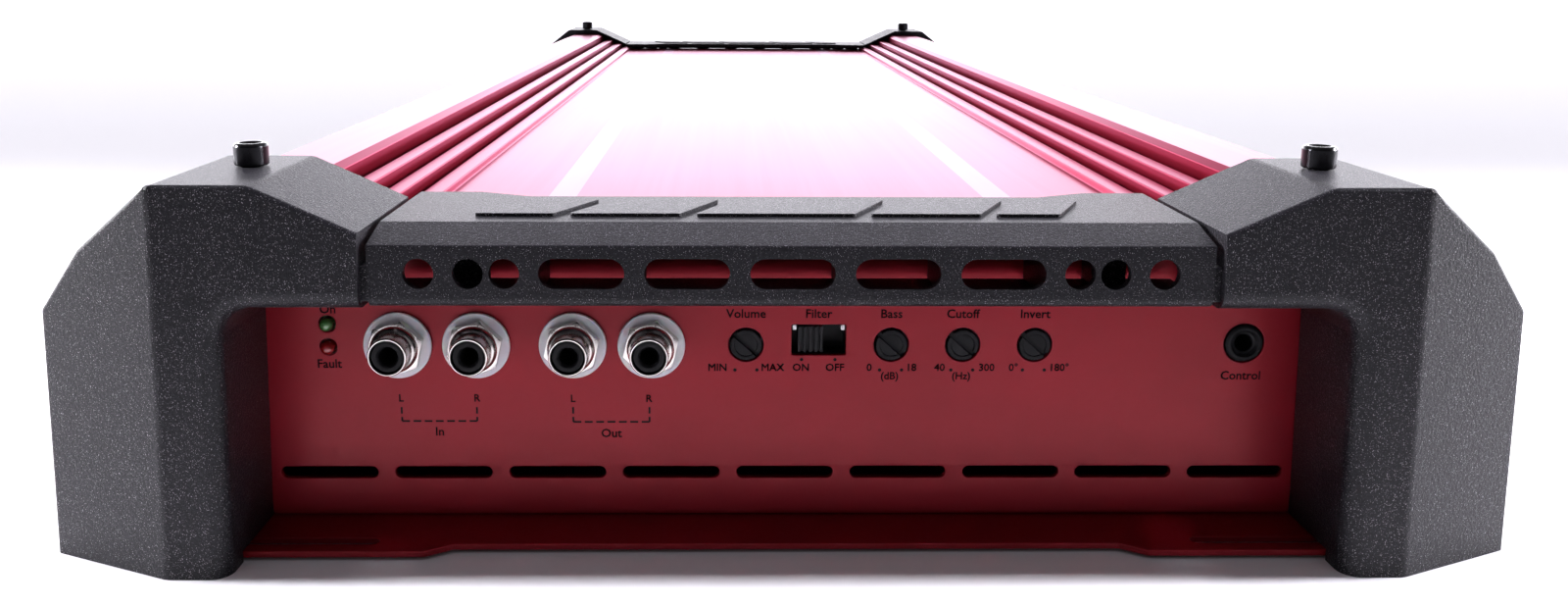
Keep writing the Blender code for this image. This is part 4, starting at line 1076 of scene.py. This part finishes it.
def add_switch():
    """The slide switch: its housing, two metal corner tabs and the ribbed slider."""
    width, height = SWITCH_HOLE
    low = (-width / 2 - 1.5 * MM, 1.9 * MM, -height / 2 - 1.5 * MM)
    high = (width / 2 + 1.5 * MM, 13.7 * MM, height / 2 + 1.5 * MM)
    pocket = box_mesh((-width / 2, 0, -height / 2), (width / 2, 6.3 * MM, height / 2))
    body = shaded(bevelled(carved(box_mesh(low, high), [pocket]), 0.2 * MM), 40)
    place = (SWITCH_X, -PANEL_Y, SWITCH_Z)
    piece("switch_housing", shifted(body, place), [BLACK], "black_plastic", ["switch_body"])
    tabs = []
    for side in (LEFT, RIGHT):
        inner, outer = sorted((side * 4.8 * MM, side * 5.7 * MM))
        tab = rounded_box((inner, 2.0 * MM), (outer, 3.2 * MM), 0.2 * MM)
        tabs.append(across([tab], 0.7 * MM, 2.6 * MM, edge=0.1 * MM))
    piece("switch_tabs", shifted(shaded(merged(*tabs)), place), [STEEL], "clamp_steel")
    half_w, half_h = 2.7 * MM, 2.8 * MM
    ribs = 5
    pitch = 2 * half_w / (2 * ribs - 1)
    outline = [(-half_w, 6 * MM)]
    for rib in range(ribs):
        left = -half_w + 2 * rib * pitch
        if rib:
            outline.append((left, 1.1 * MM))
        outline += [(left, 0.3 * MM), (left + pitch, 0.3 * MM)]
        if rib < ribs - 1:
            outline.append((left + pitch, 1.1 * MM))
    outline.append((half_w, 6 * MM))
    slider = upright([filleted(outline, 0.12 * MM, 2)], -half_h, half_h, edge=0.1 * MM)
    slider = shifted(shaded(slider), (SLIDER_X, -PANEL_Y, SWITCH_Z))
    names = (["switch_slider"], "switch_slider")
    piece("ribbed_slider", slider, [SLIDER_BLACK], "slider_plastic", *names)


# ---- printing ----


def lettering(text, size, place):
    """Flat generic lettering centred on a place of the front panel; shifted copies make it bold."""
    curve = bpy.data.curves.new("lettering", "FONT")
    curve.body = text
    curve.size = size
    curve.align_x = "CENTER"
    curve.align_y = "CENTER"
    curve.extrude = 0.01 * MM
    curve.resolution_u = 2
    mesh = baked(temporary(curve))
    bpy.data.curves.remove(curve)
    mesh.transform(QUARTER_X)
    mesh.transform(Matrix.Translation((place[0] * MM, -PANEL_Y - 0.03 * MM, place[1] * MM)))
    spread = 0.045 * MM
    spots = [(x, 0, z) for x in (-spread, spread) for z in (-spread, spread)]
    return merged(*(shifted(mesh, spot) for spot in spots))


def ink_shape(points):
    return across([points], -PANEL_Y - 0.04 * MM, -PANEL_Y - 0.02 * MM)


def bracket(left, right, top, low):
    """A dashed bracket under a pair of jacks."""
    dash, space, line = 1.5, 0.75, 0.42
    found = []
    for x in (left, right):
        z = top
        while z > low + 0.6:
            found.append(((x - line / 2, max(z - dash, low)), (x + line / 2, z)))
            z -= dash + space
    count = round((right - left) / (dash + space))
    step = (right - left + space) / count
    for i in range(count):
        x = left + i * step
        found.append(((x, low - line / 2), (x + step - space, low + line / 2)))
    return [ink_shape(in_mm(a, (b[0], a[1]), b, (a[0], b[1]))) for a, b in found]


def add_printing():
    """The generic function words, numbers, dots and brackets on the front panel."""
    big, small = 2.75 * MM, 2.35 * MM
    rows = (
        (big, 49.4, (("On", -98.7),)),
        (
            big,
            48.5,
            (("Volume", -8.7), ("Filter", 7), ("Bass", 22.8), ("Cutoff", 38.3), ("Invert", 54)),
        ),
        (big, 37.2, (("Fault", -99),)),
        (small, 36.4, (("MIN", -14.9), ("MAX", -2.9), ("ON", 3.3), ("OFF", 10.7))),
        (small, 36.4, (("0", 18.2), ("18", 27.4), ("40", 33.6), ("300", 43.9))),
        (small, 36.4, (("0°", 49.8), ("180°", 59.8))),
        (small, 34.5, (("(dB)", 22.7), ("(Hz)", 38.4))),
        (big, 34.6, (("Control", 99.9),)),
        (small, 29.4, (("L", -83.9), ("R", -67.4))),
        (small, 29.3, (("L", -46.5), ("R", -29.9))),
        (big, 21.7, (("In", -75.8),)),
        (big, 21.3, (("Out", -38.2),)),
    )
    meshes = [lettering(text, size, (x, z)) for size, z, words in rows for text, x in words]
    dots = [(x + side * 2.4 * MM, 35.9 * MM) for x in KNOB_X.values() for side in (LEFT, RIGHT)]
    dots += in_mm((3.4, 38.25), (10.7, 38.25))
    meshes += [ink_shape(circle(dot, 0.75 * MM, 16)) for dot in dots]
    meshes += bracket(-83.9, -67.5, 27.4, 24.2)
    meshes += bracket(-46.5, -29.8, 27.4, 24.0)
    piece("panel_printing", merged(*meshes), [INK], "black_plastic")


# ---- rear terminals ----

POWER_X = (-84 * MM, -64 * MM, -44 * MM)
SPEAKER_X = (30 * MM, 46 * MM, 62 * MM, 78 * MM)


def add_terminals(name, sockets, diameter, level):
    """A terminal block with funnelled wire sockets, fins between the poles and clamp screws."""
    low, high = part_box(f"{name}_terminal_block")
    near, far = low.y, high.y
    section = rounded_box((low.x, low.z), (high.x, high.z), 0.8 * MM)
    box = across([section], near, far, edge=0.4 * MM)
    screw_z = level + diameter / 2 + 4.5 * MM
    recess = in_mm((0, -12), (1.8, -12), (1.8, -1.5), (2.8, -1.5), (2.8, 0.2), (0, 0.2))
    cuts = []
    for x in sockets:
        funnel = [
            (0, near + 4 * MM), (diameter / 2, near + 4 * MM), (diameter / 2, far - 0.5 * MM),
            (diameter / 2 + 0.6 * MM, far + 0.1 * MM), (0, far + 0.1 * MM),
        ]
        cuts.append(shifted(turned(funnel, 48), (x, 0, level)))
        cuts.append(shifted(turned(recess, 48), (x, far, screw_z)))
    for first, second in zip(sockets, sockets[1:]):
        middle, half = (first + second) / 2, 0.5 * MM
        start = (middle - half, far - 1.5 * MM, low.z - MM)
        cuts.append(box_mesh(start, (middle + half, far + MM, high.z + MM)))
    mesh = shaded(bevelled(carved(box, cuts), 0.12 * MM, 2, 50), 35)
    piece(f"{name}_block", mesh, [BLACK], "black_plastic", [f"{name}_terminal_block"])
    profile = in_mm((0, -9), (1.5, -9), (1.5, 0), (2.5, 0), (2.5, 1.2), (2, 1.7), (0, 1.7))
    screw = turned(rounded_profile(profile, 0.15 * MM), 48)
    cross = [
        box_mesh(*in_mm((-1.7, 0.8, -0.35), (1.7, 2.5, 0.35))),
        box_mesh(*in_mm((-0.35, 0.8, -1.7), (0.35, 2.5, 1.7))),
    ]
    screw = shaded(bevelled(carved(screw, cross), 0.06 * MM, 1, 50), 35)
    for count, x in enumerate(sockets, 1):
        placed = shifted(screw, (x, far - 1.5 * MM + GAP, screw_z))
        replaced = f"{name}_clamp_screw_{count}"
        piece(f"{name}_clamp_{count}", placed, [NICKEL], "nickel_plate", [replaced])


# ---- CAD nodes that stay in view ----


def finish_nodes():
    """Materials for the CAD nodes inside the case."""
    kept = (
        (BOARD, ["main_board", "control_board"]),
        (COPPER, ["toroid_front", "toroid_middle", "output_coil"]),
        (SLEEVE, ["capacitor_front", "capacitor_rear"] + [f"{name}_pot" for name in KNOB_X]),
        (BLACK, [f"transistor_{side}" for side in SIDES]),
        (STEEL, [f"transistor_clamp_{side}" for side in SIDES]),
    )
    for finish, names in kept:
        for name in names:
            for holder in NODES[name].material_slots:
                holder.material = finish


# ---- floor, light and camera ----

WALL_REACH = (0.05, 0.8)
WALL_GLOW = 6
WALL_FADE = (0.17, 0.42)
WALL_HIGH = 0.05
ROOF_REACH = (0.55, 0.95)
ROOM_GLOW, ROOF_GLOW = 0.16, 0.3
LIGHT_COLOUR = (0.96, 0.94, 1)


def add_floor():
    """A plain pale floor, large enough to fill the view."""
    shape = bmesh.new()
    bmesh.ops.create_grid(shape, x_segments=8, y_segments=8, size=14)
    mesh = mesh_of(shape, "floor")
    made = Finish("pale_floor", Roughness=0.6, Specular_IOR_Level=0.2)
    cloud = made.noise(1.5, 2, 0.5)
    made.colour(made.blend(cloud, (0.86, 0.85, 0.88), (0.88, 0.87, 0.90)))
    mesh.materials.append(made.material)
    floor = linked("floor", mesh)


def add_world():
    """A studio whose far wall glows in a low band, dim overhead and dimmer in front."""
    world = bpy.data.worlds.new("studio")
    bpy.context.scene.world = world
    world.use_nodes = True
    tree = world.node_tree
    tree.nodes.clear()

    def node(kind, inputs=(), **settings):
        return add_node(tree, kind, inputs, **settings)

    def ramp(*values):
        inputs = range_inputs(*values)
        return node("ShaderNodeMapRange", inputs, interpolation_type="SMOOTHSTEP").outputs[0]

    def calculated(operation, first, second):
        return node("ShaderNodeMath", {0: first, 1: second}, operation=operation).outputs[0]

    place = node("ShaderNodeTexCoord").outputs["Generated"]
    split = node("ShaderNodeSeparateXYZ", {0: place})
    behind = ramp(split.outputs["Y"], *WALL_REACH, 0, WALL_GLOW)
    low_band = ramp(split.outputs["Z"], *WALL_FADE, 1, WALL_HIGH)
    overhead = ramp(split.outputs["Z"], *ROOF_REACH, ROOM_GLOW, ROOF_GLOW)
    total = calculated("ADD", calculated("MULTIPLY", behind, low_band), overhead)
    light = node("ShaderNodeBackground", {"Color": (0.95, 0.93, 1.0, 1), "Strength": total})
    shown = node("ShaderNodeBackground", {"Color": (0.97, 0.965, 0.99, 1)})
    seen = node("ShaderNodeLightPath").outputs["Is Camera Ray"]
    mix = node("ShaderNodeMixShader", {0: seen, 1: light.outputs[0], 2: shown.outputs[0]})
    node("ShaderNodeOutputWorld", {"Surface": mix.outputs[0]})


def add_light(name, place, target, size, power, spread):
    data = bpy.data.lights.new(name, "AREA")
    data.shape = "RECTANGLE"
    data.size, data.size_y = size
    data.energy = power
    data.spread = math.radians(spread)
    data.color = LIGHT_COLOUR
    obj = linked(name, data)
    obj.location = place
    obj.rotation_euler = (Vector(target) - Vector(place)).to_track_quat("-Z", "Y").to_euler()
    return obj


CAMERA_ANGLES = (0.88, 11.332, 0.289)
CAMERA_LENS = 29.025
CAMERA_SHIFT = (0.02425, -0.0496875)
CAMERA_PLACE = (-12.9 * MM, -585.83 * MM, 120.92 * MM)
CAMERA_CLIP = (0.01, 60)
SENSOR_WIDTH = 36


def add_lights():
    """Two side softboxes, a strip overhead and a wash over the floor behind."""
    for side in (LEFT, RIGHT):
        place, target = (side * 2.2, -0.16, 0.72), (side * 0.14, -0.2, 0.04)
        add_light(f"softbox_{side}", place, target, (0.35, 0.9), 3.7, 18)
    strip = add_light("overhead", (0, -0.22, 1.5), (0, -0.22, 0), (1.4, 0.3), 3.6, 27)
    wash = add_light("backdrop_light", (0, 4.5, 3), (0, 4.5, 0), (9, 5), 320, 170)
    strip.visible_glossy = wash.visible_glossy = False


def add_camera():
    """Low and close in front of the panel, with a short shift for the framing."""
    yaw, pitch, roll = (math.radians(angle) for angle in CAMERA_ANGLES)
    flat = Vector((math.sin(yaw), math.cos(yaw), 0))
    forward = flat * math.cos(pitch) - Vector((0, 0, math.sin(pitch)))
    level = Vector((math.cos(yaw), -math.sin(yaw), 0))
    upward = level.cross(forward)
    right = level * math.cos(roll) + upward * math.sin(roll)
    up = upward * math.cos(roll) - level * math.sin(roll)
    data = bpy.data.cameras.new("camera")
    data.sensor_width, data.lens = SENSOR_WIDTH, CAMERA_LENS
    data.shift_x, data.shift_y = CAMERA_SHIFT
    data.clip_start, data.clip_end = CAMERA_CLIP
    camera = linked("camera", data)
    turn = Matrix((right, up, -forward)).transposed().to_4x4()
    camera.matrix_world = Matrix.Translation(CAMERA_PLACE) @ turn
    bpy.context.scene.camera = camera


add_heatsink()
add_corner_blocks()
add_bridges()
add_bottom_plate()
add_panels()
add_corner_screws()
add_rca_jacks()
add_lamps()
add_remote_socket()
add_trimmers()
add_switch()
add_printing()
add_terminals("power", POWER_X, 9 * MM, 27 * MM)
add_terminals("speaker", SPEAKER_X, 6.4 * MM, 28 * MM)
finish_nodes()
add_floor()
add_world()
add_lights()
add_camera()
bpy.context.scene.view_settings.view_transform = "Standard"

bpy.context.view_layer.update()
